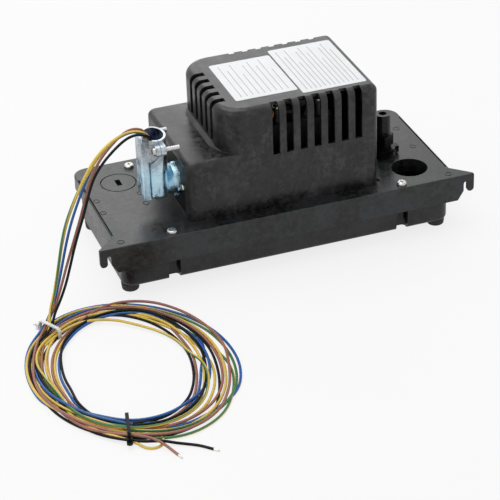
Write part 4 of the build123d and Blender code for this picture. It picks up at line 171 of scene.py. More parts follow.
# The loose ends that leave the coil in front
TAILS = {
    "wire_black": [
        (-0.1919, -0.2578, 0.0040), (-0.1735, -0.2628, 0.0033), (-0.1659, -0.2664, 0.0018),
        (-0.1582, -0.2701, 0.0011), (-0.1508, -0.2750, 0.0012), (-0.1453, -0.2803, 0.0011),
        (-0.1426, -0.2832, 0.0011),
    ],
    "wire_brown": [
        (-0.1860, -0.2541, 0.0050), (-0.1806, -0.2595, 0.0052), (-0.1761, -0.2649, 0.0046),
        (-0.1726, -0.2700, 0.0028), (-0.1697, -0.2752, 0.0013), (-0.1680, -0.2800, 0.0011),
    ],
    "wire_yellow": [
        (-0.1922, -0.2562, 0.0030), (-0.1884, -0.2622, 0.0014), (-0.1841, -0.2656, 0.0011),
        (-0.1790, -0.2665, 0.0011), (-0.1744, -0.2645, 0.0011), (-0.1719, -0.2601, 0.0012),
        (-0.1724, -0.2552, 0.0016), (-0.1739, -0.2530, 0.0026),
    ],
}

# The earth lead's stripe, in turns round the lead: its twist over the whole length, its side and half its width
STRIPE_TWIST = 5.0
STRIPE_SIDE = 0.36
STRIPE_HALF_WIDTH = 0.17

# Marks that the mould left on the lid
LID_TOP = 0.0485
EJECTOR_PLACES = (
    (-0.1400, 0.0098), (-0.1404, -0.0106), (-0.1032, 0.0090), (-0.1036, -0.0087), (-0.1100, -0.0526),
    (0.1330, 0.0300), (0.1330, -0.0050),
)
CORNER_PLACES = ((-0.1405, -0.0600), (0.1405, -0.0600))

# Where the threads start
SPIGOT_THREAD_LOW = 0.0712
CLAMP_THREAD_X = -0.0970
CLAMP_THREAD_Z = 0.1110
CLAMP_THREAD_Y = {"front": -0.0402, "back": -0.0078}


# What every colour property shares
COLOUR = {"subtype": "COLOR", "size": 3, "min": 0, "max": 1}


class PumpColours(bpy.types.PropertyGroup):
    cover: bpy.props.FloatVectorProperty(
        name="Cover", description="Colour of the moulded motor cover",
        **COLOUR, default=(0.0095, 0.0095, 0.0100),
    )
    lid: bpy.props.FloatVectorProperty(
        name="Lid", description="Colour of the moulded lid and plug",
        **COLOUR, default=(0.0120, 0.0126, 0.0138),
    )
    tank: bpy.props.FloatVectorProperty(
        name="Tank", description="Colour of the moulded tank",
        **COLOUR, default=(0.0090, 0.0090, 0.0095),
    )
    zinc: bpy.props.FloatVectorProperty(
        name="Zinc", description="Colour of the zinc plating on the elbow's hood",
        **COLOUR, default=(0.36, 0.40, 0.435),
    )
    # The barrel's colour is brighter and bluer than the hood's: partly its zinc plating and partly painted sheen
    barrel_zinc_and_sheen: bpy.props.FloatVectorProperty(
        name="Barrel zinc and sheen", description="Colour of the zinc plating on the elbow's barrel",
        **COLOUR, default=(0.44, 0.62, 0.78),
    )
    blue: bpy.props.FloatVectorProperty(
        name="Blue lead", description="Colour of the blue insulation",
        **COLOUR, default=(0.014, 0.105, 0.36),
    )
    yellow: bpy.props.FloatVectorProperty(
        name="Yellow lead", description="Colour of the yellow insulation",
        **COLOUR, default=(0.78, 0.55, 0.10),
    )
    brown: bpy.props.FloatVectorProperty(
        name="Brown lead", description="Colour of the brown insulation",
        **COLOUR, default=(0.36, 0.145, 0.10),
    )
    black: bpy.props.FloatVectorProperty(
        name="Black lead", description="Colour of the black insulation",
        **COLOUR, default=(0.005, 0.005, 0.006),
    )
    green: bpy.props.FloatVectorProperty(
        name="Green lead", description="Colour of the stripe on the earth lead",
        **COLOUR, default=(0.05, 0.20, 0.07),
    )
    label: bpy.props.FloatVectorProperty(
        name="Label", description="Colour of the two ruled labels",
        **COLOUR, default=(0.78, 0.79, 0.80),
    )


class PumpSizes(bpy.types.PropertyGroup):
    wire: bpy.props.FloatProperty(
        name="Lead diameter", description="Outside diameter of each lead", subtype="DISTANCE", unit="LENGTH",
        min=0.001, max=0.006, default=0.0022,
    )
    plug_turn: bpy.props.FloatProperty(
        name="Plug turn", description="How far the blanking plug is turned in its hole", subtype="ANGLE",
        unit="ROTATION", min=-math.pi, max=math.pi, default=math.radians(28),
    )
    label_lift: bpy.props.FloatProperty(
        name="Label lift", description="Height of a label's face above the cover", subtype="DISTANCE",
        unit="LENGTH", min=0.00005, max=0.002, default=0.00022,
    )
    grain: bpy.props.FloatProperty(
        name="Mould grain", description="Height of the fine grain on the mouldings", subtype="DISTANCE",
        unit="LENGTH", min=0.0, max=0.001, default=0.00009,
    )


class PumpStage(bpy.types.PropertyGroup):
    key: bpy.props.FloatProperty(
        name="Key light", description="Power of the large light above and behind", subtype="POWER",
        min=0, max=200, default=13.0,
    )
    fill: bpy.props.FloatProperty(
        name="Fill light", description="Power of the soft light at the front left", subtype="POWER",
        min=0, max=200, default=2.0,
    )
    back: bpy.props.FloatProperty(
        name="Back light", description="Power of the soft light behind, which draws the upper edges",
        subtype="POWER", min=0, max=200, default=3.2,
    )
    sky: bpy.props.FloatProperty(
        name="Room light", description="Strength of the even light all round", min=0, max=2, default=0.48,
    )
    floor: bpy.props.FloatVectorProperty(
        name="Floor", description="Colour of the floor",
        **COLOUR, default=(0.86, 0.86, 0.86),
    )


def new_finish(name):
    """An empty material with one shader."""
    material = bpy.data.materials.new(name)
    material.use_nodes = True
    tree = material.node_tree
    tree.nodes.clear()
    output = tree.nodes.new("ShaderNodeOutputMaterial")
    shader = tree.nodes.new("ShaderNodeBsdfPrincipled")
    tree.links.new(shader.outputs["BSDF"], output.inputs["Surface"])
    return material, tree, shader


def feed(tree, socket, value):
    """Links a socket to another one, or gives it a plain value."""
    if isinstance(value, bpy.types.NodeSocket):
        tree.links.new(value, socket)
    else:
        socket.default_value = value


def math_node(tree, operation, *values):
    node = tree.nodes.new("ShaderNodeMath")
    node.operation = operation
    for number, value in enumerate(values):
        feed(tree, node.inputs[number], value)
    return node.outputs["Value"]


def mix_shaders(tree, factor, first, second, output):
    blend = tree.nodes.new("ShaderNodeMixShader")
    tree.links.new(factor, blend.inputs["Fac"])
    tree.links.new(first, blend.inputs[1])
    tree.links.new(second, blend.inputs[2])
    tree.links.new(blend.outputs["Shader"], output.inputs["Surface"])


def object_coordinates(tree, stretch=(1, 1, 1), turn=(0, 0, 0)):
    place = tree.nodes.new("ShaderNodeTexCoord")
    mapping = tree.nodes.new("ShaderNodeMapping")
    mapping.inputs["Scale"].default_value = stretch
    mapping.inputs["Rotation"].default_value = turn
    tree.links.new(place.outputs["Object"], mapping.inputs["Vector"])
    return mapping.outputs["Vector"]


def noise_height(tree, scale, detail=3.0, coarse=0.5, stretch=(1, 1, 1), turn=(0, 0, 0)):
    texture = tree.nodes.new("ShaderNodeTexNoise")
    texture.inputs["Scale"].default_value = scale
    texture.inputs["Detail"].default_value = detail
    texture.inputs["Roughness"].default_value = coarse
    tree.links.new(object_coordinates(tree, stretch, turn), texture.inputs["Vector"])
    return texture.outputs["Fac"]


def spread(tree, source, low, high, start=0.3, stop=0.7):
    """Maps a value from start to stop onto low to high."""
    ramp = tree.nodes.new("ShaderNodeMapRange")
    ramp.inputs["From Min"].default_value = start
    ramp.inputs["From Max"].default_value = stop
    ramp.inputs["To Min"].default_value = low
    ramp.inputs["To Max"].default_value = high
    tree.links.new(source, ramp.inputs["Value"])
    return ramp.outputs["Result"]


def mix_colours(tree, factor, first, second):
    """Mixes two colours, each plain or from a socket."""
    mix = tree.nodes.new("ShaderNodeMix")
    mix.data_type = "RGBA"
    for name, colour in (("A", first), ("B", second)):
        feed(tree, mix.inputs[name], colour if isinstance(colour, bpy.types.NodeSocket) else (*colour, 1))
    tree.links.new(factor, mix.inputs["Factor"])
    return mix.outputs["Result"]


def share_values(tree, first, second, share):
    """A mix of two plain values, with the given share of the second."""
    mix = tree.nodes.new("ShaderNodeMix")
    mix.inputs["Factor"].default_value = share
    tree.links.new(first, mix.inputs["A"])
    tree.links.new(second, mix.inputs["B"])
    return mix.outputs["Result"]


def scaled(colour, factor):
    return tuple(min(1.0, c * factor) for c in colour)


def tint(tree, shader, factor, first, second):
    tree.links.new(mix_colours(tree, factor, first, second), shader.inputs["Base Color"])


def roughen(tree, shader, source, low, high, start=0.3, stop=0.7):
    tree.links.new(spread(tree, source, low, high, start, stop), shader.inputs["Roughness"])


def add_bump(tree, shader, height, distance, strength=1.0, before=None):
    bump = tree.nodes.new("ShaderNodeBump")
    bump.inputs["Distance"].default_value = distance
    bump.inputs["Strength"].default_value = strength
    tree.links.new(height, bump.inputs["Height"])
    if before is not None:
        tree.links.new(before, bump.inputs["Normal"])
    tree.links.new(bump.outputs["Normal"], shader.inputs["Normal"])
    return bump.outputs["Normal"]


def moulded_plastic(name, colour, grain, roughness=(0.24, 0.44), scuff_and_sheen=0.3, mark_start=0.56, gloss=0.45):
    """Satin moulded plastic: a spark-eroded grain, flow marks from the gate, and pale marks that are partly handling
    scuffs and partly painted sheen.
    """
    material, tree, shader = new_finish(name)
    flow_marks = noise_height(tree, 24, 5, 0.6, (1, 0.4, 1), (0, 0, 0.5))
    mottle = noise_height(tree, 230, 4, 0.7)
    both = share_values(tree, flow_marks, mottle, 0.5)
    plain = mix_colours(tree, spread(tree, both, 0, 1, 0.42, 0.58), scaled(colour, 0.15), scaled(colour, 2.1))
    # Pale marks: partly handling scuffs and partly painted sheen, which stands in for mottled highlights
    marks = share_values(tree, noise_height(tree, 70, 6, 0.7, (1, 1, 0.45)), mottle, 0.35)
    pale = scaled((colour[0] + 0.02, colour[1] + 0.02, colour[2] + 0.022), 1.5)
    tint(tree, shader, spread(tree, marks, 0, scuff_and_sheen, mark_start, mark_start + 0.12), plain, pale)
    roughen(tree, shader, both, *roughness, 0.38, 0.62)
    edge = tree.nodes.new("ShaderNodeBevel")
    edge.samples = 4
    edge.inputs["Radius"].default_value = 0.0006
    first = add_bump(tree, shader, noise_height(tree, 900, 2, 0.6), grain, 0.6, edge.outputs["Normal"])
    second = add_bump(tree, shader, mottle, 0.0002, 0.35, first)
    add_bump(tree, shader, noise_height(tree, 45, 2), 0.0008, 0.3, second)
    shader.inputs["IOR"].default_value = 1.49
    shader.inputs["Specular IOR Level"].default_value = gloss
    return material


def even_finish(name, colour, slow, shades, roughness, fine, bump, gloss=0.5):
    """A plain surface with slow changes of tone and sheen, and a fine grain."""
    material, tree, shader = new_finish(name)
    tone = noise_height(tree, *slow)
    tint(tree, shader, spread(tree, tone, 0, 1), *(scaled(colour, shade) for shade in shades))
    roughen(tree, shader, tone, *roughness)
    add_bump(tree, shader, noise_height(tree, *fine), *bump)
    shader.inputs["Specular IOR Level"].default_value = gloss
    return material


def smooth_plastic(name, colour, roughness=(0.28, 0.38), gloss=0.5):
    """Plain plastic with a light sheen and faint streaks from the mould."""
    return even_finish(name, colour, (90, 3), (0.88, 1.1), roughness, (420, 3), (0.00004, 0.5), gloss)


def soft_rubber(name, colour):
    return even_finish(name, colour, (120, 4), (0.8, 1.25), (0.62, 0.8), (700, 3), (0.00008, 0.6))


def blank_paper(name, colour):
    """Coated label paper with a faint mottle."""
    return even_finish(name, colour, (70, 4), (0.94, 1.04), (0.36, 0.48), (500, 2), (0.00003, 0.4))


def wire_sleeve(name, colour, gloss=0.4):
    """Smooth insulation."""
    return even_finish(name, colour, (40, 3), (0.9, 1.12), (0.2, 0.3), (260, 2), (0.00004, 0.4), gloss)


def striped_sleeve(name, colour, stripe):
    """Insulation with a second colour down one side, winding slowly round the lead."""
    material = wire_sleeve(name, colour)
    tree = material.node_tree
    base = next(node for node in tree.nodes if node.type == "BSDF_PRINCIPLED").inputs["Base Color"]
    coords = tree.nodes.new("ShaderNodeTexCoord")
    parts = tree.nodes.new("ShaderNodeSeparateXYZ")
    tree.links.new(coords.outputs["UV"], parts.inputs["Vector"])
    turned = math_node(tree, "MULTIPLY_ADD", parts.outputs["X"], STRIPE_TWIST, parts.outputs["Y"])
    across = math_node(tree, "COMPARE", math_node(tree, "FRACT", turned), STRIPE_SIDE, STRIPE_HALF_WIDTH)
    tree.links.new(mix_colours(tree, across, base.links[0].from_socket, stripe), base)
    return material


def worked_metal(name, colour, roughness=(0.2, 0.36), stretch=(1, 1, 1), grain=0.00005):
    """Bare or plated metal, with drawn or tumbled marks along the given stretch."""
    material, tree, shader = new_finish(name)
    marks = noise_height(tree, 260, 5, 0.62, stretch)
    tint(tree, shader, spread(tree, noise_height(tree, 55, 3), 0, 1), scaled(colour, 0.86), colour)
    roughen(tree, shader, marks, *roughness)
    add_bump(tree, shader, marks, grain, 0.5)
    shader.inputs["Metallic"].default_value = 1.0
    return material


def zinc_plate(name, colour, bright):
    """Blue-white zinc over a casting with a tumbled surface: cloudy above and brighter on the barrel, both partly the
    plating's own tone and partly painted reflection and sheen.
    """
    material, tree, shader = new_finish(name)
    cloud = noise_height(tree, 95, 5, 0.65)
    fine = noise_height(tree, 420, 3, 0.6)
    both = share_values(tree, cloud, fine, 0.3)
    place = tree.nodes.new("ShaderNodeSeparateXYZ")
    tree.links.new(object_coordinates(tree), place.inputs["Vector"])
    # The hood above is cloudy in a wide contrast and the barrel below is brighter: partly the plating's own tone and
    # partly painted reflection and sheen
    above = spread(tree, place.outputs["Z"], 0, 1, 0.086, 0.102)
    factor = spread(tree, both, 0, 1, 0.38, 0.62)
    low = mix_colours(tree, factor, scaled(bright, 0.95), scaled(bright, 1.45))
    high = mix_colours(tree, factor, scaled(colour, 0.6), scaled(colour, 1.7))
    tint(tree, shader, above, low, high)
    roughen(tree, shader, both, 0.24, 0.5, 0.4, 0.6)
    first = add_bump(tree, shader, fine, 0.00012, 0.5)
    add_bump(tree, shader, noise_height(tree, 85, 3), 0.0008, 0.5, first)
    shader.inputs["Metallic"].default_value = 1.0
    return material


def banded_metal(name, colour, direction, scale, distortion, dark, bump, metallic):
    """Metal in fine bands, and the tree, the shader and the bands' own value with it."""
    material, tree, shader = new_finish(name)
    wave = tree.nodes.new("ShaderNodeTexWave")
    wave.wave_type = "BANDS"
    wave.bands_direction = direction
    wave.inputs["Scale"].default_value = scale
    wave.inputs["Distortion"].default_value = distortion
    tree.links.new(object_coordinates(tree), wave.inputs["Vector"])
    bands = wave.outputs["Fac"]
    tint(tree, shader, bands, scaled(colour, dark), colour)
    add_bump(tree, shader, bands, *bump)
    shader.inputs["Metallic"].default_value = metallic
    return material, tree, shader, bands


def sheet_stack(name, colour):
    """Edges of stacked steel sheets, seen as fine level lines."""
    material, tree, shader, _ = banded_metal(name, colour, "Z", 320, 0.6, 0.55, (0.00012, 0.6), 0.9)
    roughen(tree, shader, noise_height(tree, 150, 4), 0.35, 0.55)
    return material


def wound_wire(name, colour):
    """Enamelled wire laid turn beside turn."""
    material, tree, shader, bands = banded_metal(name, colour, "Y", 420, 0.8, 0.5, (0.00025, 0.8), 0.85)
    roughen(tree, shader, bands, 0.25, 0.4, 0, 1)
    return material


def dress(node, material):
    """Gives a carried-over CAD node its finish."""
    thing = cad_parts[node]
    thing.data.materials.clear()
    thing.data.materials.append(material)


def add_mesh(name, mesh, material, body, smooth=True):
    thing = bpy.data.objects.new(name, mesh)
    bpy.context.scene.collection.objects.link(thing)
    mesh.materials.clear()
    mesh.materials.append(material)
    for polygon in mesh.polygons:
        polygon.use_smooth = smooth
    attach(thing, body)
    return thing


def add_shape(name, shape, material, smooth=True):
    """Turns a finished shape into a piece on the base."""
    mesh = bpy.data.meshes.new(name)
    shape.to_mesh(mesh)
    shape.free()
    return add_mesh(name, mesh, material, "base", smooth)


def join_rows(shape, low, high, closed=True):
    """Faces between two rows of points."""
    count = len(low)
    for number in range(count if closed else count - 1):
        other = (number + 1) % count
        shape.faces.new((low[number], low[other], high[other], high[number]))


def band_at(angle):
    """The coil's inside and outside from the hole's centre, its floor and its slack at an angle."""
    a = math.radians(angle)
    dx, dy = math.cos(a), math.sin(a)
    inner = 1 / math.sqrt((dx / HOLE_HALF[0]) ** 2 + (dy / HOLE_HALF[1]) ** 2)
    tilt = math.radians(COIL_TILT)
    low, high = inner, 0.4
    for _ in range(40):
        middle = (low + high) / 2
        px = HOLE_MIDDLE[0] + middle * dx - COIL_MIDDLE[0]
        py = HOLE_MIDDLE[1] + middle * dy - COIL_MIDDLE[1]
        u = px * math.cos(tilt) + py * math.sin(tilt)
        v = -px * math.sin(tilt) + py * math.cos(tilt)
        if (u / COIL_HALF[0]) ** 2 + (v / COIL_HALF[1]) ** 2 < 1:
            low = middle
        else:
            high = middle
    within = FIRST_ANGLE + (angle - FIRST_ANGLE) % 360
    for (start, first), (stop, second) in zip(SLACK, SLACK[1:]):
        if start <= within <= stop:
            slack = eased(first, second, (within - start) / (stop - start))
            break
    nearest = min(abs((angle - tie + 180) % 360 - 180) for tie in (WHITE_TIE_ANGLE, BLACK_TIE_ANGLE))
    floor = STRAP_THICK * max(0.0, 1 - max(0.0, nearest - TIE_FLAT) / TIE_FALL)
    return inner, low, floor, slack


def eased(a, b, t):
    return a + (b - a) * (0.5 - 0.5 * math.cos(math.pi * t))


def lane_at(name, angle):
    """The lane of a lead at a total angle, counted on from the white tie."""
    rows = LANES[name]
    turn = int((angle - FIRST_ANGLE + 0.001) // 360)
    within = angle - 360 * turn
    values = list(rows[min(turn, len(rows) - 1)]) + [rows[min(turn + 1, len(rows) - 1)][0]]
    keys = list(LANE_ANGLES) + [FIRST_ANGLE + 360]
    for low, high, a, b in zip(keys, keys[1:], values, values[1:]):
        if within <= high:
            return eased(a, b, max(0.0, (within - low) / (high - low)))
    return values[-1]


def push_apart(a, b, apart):
    """How far and which way to move two strands' middles, as (inward or outward, up or down)."""
    dx, dz = b[0] - a[0], b[1] - a[1]
    distance = math.hypot(dx, dz) or 0.00001
    if distance >= apart:
        return None
    push = (apart - distance) / 2 * PUSH_SHARE / distance
    return dx * push, dz * push


def lay_lanes(radius, bands, count):
    """Each strand's reach and height before it settles, its goals and how far it may go."""
    step = 360 / STEPS_PER_TURN
    strands, goals, limits = {}, {}, {}
    for order, name in enumerate(LANES):
        strand, edges = [], []
        for number in range(count + 1):
            inner, outer, floor, slack = bands[number % STEPS_PER_TURN]
            lane = lane_at(name, FIRST_ANGLE + number * step)
            turn = number // STEPS_PER_TURN
            height = floor + radius * (1 + 1.1 * ((order * 2 + turn * 3) % 5))
            if number < 3:
                height = floor + COIL_TALL - radius * (1 + number)
            tied = floor > 0.9 * STRAP_THICK
            if lane < 0:
                reach = inner + radius + lane * slack
                edges.append((inner - slack, inner - STRAP_THICK - 1.2 * radius if tied else outer - radius))
            else:
                reach = inner + radius + lane * (outer - inner - 2 * radius)
                edges.append((inner + radius if tied else inner - slack, max(outer - radius, reach)))
            strand.append([reach, height])
        strands[name] = strand
        goals[name] = [place[0] for place in strand]
        limits[name] = edges
    return strands, goals, limits


def part_strands(one, i, other, j, apart):
    """Pushes two strands apart at their points and half way to the next ones."""
    a, b = one[i], other[j]
    move = push_apart(a, b, apart)
    if move:
        for axis in (0, 1):
            a[axis] -= move[axis]
            b[axis] += move[axis]
    if i + 1 < len(one) and j + 1 < len(other):
        c, d = one[i + 1], other[j + 1]
        move = push_apart(((a[0] + c[0]) / 2, (a[1] + c[1]) / 2), ((b[0] + d[0]) / 2, (b[1] + d[1]) / 2), apart)
        if move:
            for axis in (0, 1):
                for low in (a, c):
                    low[axis] -= move[axis] / 2
                for high in (b, d):
                    high[axis] += move[axis] / 2


def coil_strands(radius):
    """Lays the strands side by side and on each other, so that none cuts into its neighbour."""
    step = 360 / STEPS_PER_TURN
    count = round((LAST_ANGLE - FIRST_ANGLE) / step)
    bands = [band_at(FIRST_ANGLE + slot * step) for slot in range(STEPS_PER_TURN)]
    strands, goals, limits = lay_lanes(radius, bands, count)
    members = [
        [
            (strands[name], number, limits[name][number])
            for name in strands
            for number in range(slot, len(strands[name]), STEPS_PER_TURN)
        ]
        for slot in range(STEPS_PER_TURN)
    ]
    apart = 2 * radius + STRAND_GAP
    for _ in range(SWEEPS):
        for slot, group in enumerate(members):
            for first, (one, i, _) in enumerate(group):
                for other, j, _ in group[first + 1 :]:
                    part_strands(one, i, other, j, apart)
            floor = bands[slot][2]
            for strand, number, (near, far) in group:
                point = strand[number]
                point[0] = min(max(point[0], near), far)
                point[1] = min(max(point[1] - FALL, floor + radius), floor + COIL_TALL - radius)
        for name, strand in strands.items():
            old = [(place[0] - goal, place[1]) for place, goal in zip(strand, goals[name])]
            for number in range(1, len(strand) - 1):
                for axis in (0, 1):
                    middle = (old[number - 1][axis] + old[number + 1][axis]) / 2
                    strand[number][axis] += (middle - old[number][axis]) * EVENING
    lines = {}
    for name, strand in strands.items():
        line = []
        for number, (reach, height) in enumerate(strand):
            angle = math.radians(FIRST_ANGLE + number * step)
            x = HOLE_MIDDLE[0] + reach / NURBS_SHRINK * math.cos(angle)
            y = HOLE_MIDDLE[1] + reach / NURBS_SHRINK * math.sin(angle)
            line.append((x, y, height))
        lines[name] = line
    return lines


def route_length(points):
    """The length of the smooth line that the points guide, read from its own spline."""
    curve = bpy.data.curves.new("ruler", "CURVE")
    shape_spline(curve, points)
    thing = bpy.data.objects.new("ruler", curve)
    mesh = bpy.data.meshes.new_from_object(thing)
    places = [vertex.co for vertex in mesh.vertices]
    total = sum((places[edge.vertices[0]] - places[edge.vertices[1]]).length for edge in mesh.edges)
    bpy.data.objects.remove(thing)
    bpy.data.curves.remove(curve)
    bpy.data.meshes.remove(mesh)
    return total


def shape_spline(curve, points):
    """Gives a curve its one smooth, open line."""
    curve.dimensions = "3D"
    curve.resolution_u = 6
    spline = curve.splines.new("NURBS")
    spline.points.add(len(points) - 1)
    for place, point in zip(spline.points, points):
        place.co = (*point, 1)
    spline.order_u = 3
    spline.use_endpoint_u = True


def tinned_end(name, points, material, radius):
    """The bare twisted strands at the end of a lead."""
    tip = Vector(points[-1])
    way = (tip - Vector(points[-2])).normalized()
    side = way.cross(Vector((0, 0, 1))).normalized()
    up = side.cross(way)
    rings = 14
    around = 18
    length = 0.0055
    shape = bmesh.new()
    loops = []
    for ring in range(rings + 1):
        share = ring / rings
        size = radius * 0.62 * (1 - 0.25 * share**4)
        centre = tip + way * (length * share - 0.0008) - Vector((0, 0, 0.0002 * share**2))
        loop = []
        for number in range(around):
            angle = math.tau * number / around
            wave = 1 + 0.09 * math.cos(6 * angle + 5.5 * share)
            place = centre + (side * math.cos(angle) + up * math.sin(angle)) * size * wave
            loop.append(shape.verts.new(place))
        loops.append(loop)
    for low, high in zip(loops, loops[1:]):
        join_rows(shape, low, high)
    shape.faces.new(list(reversed(loops[0])))
    shape.faces.new(loops[-1])
    return add_shape(name, shape, material)


class PUMP_OT_leads(bpy.types.Operator):
    """Lays the five leads from the elbow into their loose coil"""

    bl_idname = "pump.leads"
    bl_label = "Leads"

    def execute(self, context):
        colours = context.scene.pump_colours
        size = context.scene.pump_sizes.wire
        radius = size / 2
        finishes = {
            "wire_blue": wire_sleeve("Blue insulation", colours.blue),
            "wire_yellow": wire_sleeve("Yellow insulation", colours.yellow),
            "wire_brown": wire_sleeve("Brown insulation", colours.brown),
            "wire_black": wire_sleeve("Black insulation", colours.black, 0.14),
            "wire_green": striped_sleeve("Earth insulation", colours.yellow, colours.green),
        }
        tin = worked_metal("Tinned strands", (0.62, 0.6, 0.57), (0.25, 0.4))
        bare_tails = {"wire_black": "tail_black", "wire_brown": "tail_brown"}
        for name, turns in coil_strands(radius).items():
            points = LEADS[name] + turns
            if name in TAILS:
                points = points[:-1] + TAILS[name]
            curve = bpy.data.curves.new(name + "_lead", "CURVE")
            shape_spline(curve, points)
            curve.bevel_depth = radius
            curve.bevel_resolution = 4
            curve.use_fill_caps = True
            lead = bpy.data.objects.new(name + "_lead", curve)
            context.scene.collection.objects.link(lead)
            curve.materials.append(finishes[name])
            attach(lead, "base")
            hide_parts(name)
            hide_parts("wire_coil")
            if name in bare_tails:
                tinned_end(name + "_end", points, tin, radius)
                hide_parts(bare_tails[name])
            route_length(points)
        return {"FINISHED"}


class PUMP_OT_finishes(bpy.types.Operator):
    """Gives every carried-over part its own finish"""

    bl_idname = "pump.finishes"
    bl_label = "Finishes"

    def execute(self, context):
        colours = context.scene.pump_colours
        grain = context.scene.pump_sizes.grain
        # The wiring panel is near-black with little gloss: partly its black paint and partly painted shade for the
        # elbow's shadow and dark reflection on the cover's left face
        panel_paint_and_shade = (0.0025, 0.0025, 0.003)
        for material, *nodes in (
            (moulded_plastic("Tank moulding", colours.tank, grain), "tank"),
            (moulded_plastic("Lid moulding", colours.lid, grain), "lid"),
            # The cover takes the most pale marks, partly scuffs and partly painted sheen
            (moulded_plastic("Cover moulding", colours.cover, grain, scuff_and_sheen=0.9, mark_start=0.5), "motor_cover"),
            (
                moulded_plastic("Black panel paint and painted shade", panel_paint_and_shade, grain * 0.5, (0.34, 0.46), scuff_and_sheen=0.0, gloss=0.07),
                "wiring_panel",
            ),
            (soft_rubber("Black rubber", (0.02, 0.02, 0.02)), "rubber_feet"),
            (soft_rubber("Grey rubber", (0.05, 0.05, 0.05)), "tank_gasket", "plug_seal", "valve_seal"),
            (
                worked_metal("Bright screws", (0.56, 0.55, 0.53), (0.16, 0.3), grain=0.00012),
                "lid_screws", "cover_screws", "panel_screws", "clamp_screws", "motor_bolts", "volute_screws",
                "switch_screws", "lever_pin",
            ),
            (zinc_plate("Blue-white zinc", colours.zinc, colours.barrel_zinc_and_sheen), "elbow_body", "elbow_clamp", "locknut"),
            (smooth_plastic("Dark blue bushing", (0.008, 0.014, 0.10)), "wire_bushing"),
            # The motor parts seen through the vents (stator sheets, winding, brackets and rotor) are coloured darker
            # than bare steel and copper: partly their varnish, enamel and blackening, and partly painted shade for the
            # dark inside of the cover
            (sheet_stack("Varnished steel sheets and painted shade", (0.035, 0.035, 0.037)), "stator_stack"),
            (smooth_plastic("Bobbin plastic", (0.02, 0.02, 0.021)), "coil_bobbin"),
            (wound_wire("Enamelled wire", (0.09, 0.035, 0.018)), "motor_winding"),
            (
                worked_metal("Blackened steel and painted shade", (0.06, 0.06, 0.063), (0.35, 0.5)),
                "upper_bracket", "lower_bracket", "switch_bracket", "switch_lever", "switch_spacers",
            ),
            (
                worked_metal("Sintered bronze", (0.45, 0.28, 0.12), (0.4, 0.55)),
                "upper_bearing", "lower_bearing", "shaft_bush",
            ),
            (sheet_stack("Rotor sheets", (0.12, 0.12, 0.125)), "rotor"),
            (worked_metal("Ground shaft", (0.7, 0.7, 0.7), (0.12, 0.22), (1, 1, 30)), "motor_shaft"),
            (smooth_plastic("Fan plastic", (0.008, 0.008, 0.009), (0.4, 0.5)), "cooling_fan"),
            (
                smooth_plastic("Pump plastic", (0.03, 0.03, 0.033)),
                "volute", "intake_cover", "impeller", "discharge_tube",
            ),
            (
                smooth_plastic("Valve plastic", (0.005, 0.005, 0.005), (0.22, 0.34), 0.16),
                "valve_body", "valve_clip", "valve_poppet",
            ),
            (smooth_plastic("Spigot plastic", (0.006, 0.006, 0.007), (0.18, 0.3), 0.22), "discharge_spigot"),
            (smooth_plastic("Float plastic", (0.62, 0.61, 0.58), (0.4, 0.55)), "float_body", "float_rod"),
            (smooth_plastic("Switch plastic", (0.03, 0.03, 0.03)), "run_switch", "overflow_switch"),
            (smooth_plastic("Red button", (0.45, 0.05, 0.04)), "run_button", "overflow_button"),
            (wire_sleeve("Inner lead insulation", colours.yellow), "inner_lead"),
            (smooth_plastic("Natural nylon", (0.82, 0.82, 0.8)), "white_tie"),
            (smooth_plastic("Black nylon", (0.006, 0.006, 0.007), gloss=0.16), "black_tie"),
        ):
            for node in nodes:
                dress(node, material)
        return {"FINISHED"}


def label_sheet(name, low, high, top, lift, material):
    """A thin sheet with rounded corners and an edge that eases down to the cover."""
    shape = bmesh.new()
    steps = 6
    corner = 0.002
    corners = [
        (high[0] - corner, high[1] - corner, 0),
        (low[0] + corner, high[1] - corner, 90),
        (low[0] + corner, low[1] + corner, 180),
        (high[0] - corner, low[1] + corner, 270),
    ]
    rings = []
    for inset, height in ((0.0, 0.0), (0.0, lift * 0.6), (0.00012, lift)):
        ring = []
        for x, y, start in corners:
            for step in range(steps + 1):
                angle = math.radians(start + 90 * step / steps)
                reach = corner - inset
                place = (x + reach * math.cos(angle), y + reach * math.sin(angle), top + height)
                ring.append(shape.verts.new(place))
        rings.append(ring)
    for low_ring, high_ring in zip(rings, rings[1:]):
        join_rows(shape, low_ring, high_ring)
    shape.faces.new(rings[-1])
    return add_shape(name, shape, material, smooth=False)


def ruled_lines(name, low, high, top, count, material):
    """Plain ruled lines, as on an unused form, raised by the thickness of the ink."""
    shape = bmesh.new()
    half_width, ink = 0.00032, 0.00003
    for number in range(count):
        x = low[0] + (high[0] - low[0]) * (number + 0.5) / count
        end = high[1] - (0.0, 0.16, 0.0, 0.34, 0.08)[number % 5] * (high[1] - low[1])
        left, right = x - half_width, x + half_width
        corners = [(left, low[1]), (right, low[1]), (right, end), (left, end)]
        below = [shape.verts.new((*c, top)) for c in corners]
        above = [shape.verts.new((*c, top + ink)) for c in corners]
        shape.faces.new(above)
        join_rows(shape, below, above)
    return add_shape(name, shape, material, smooth=False)


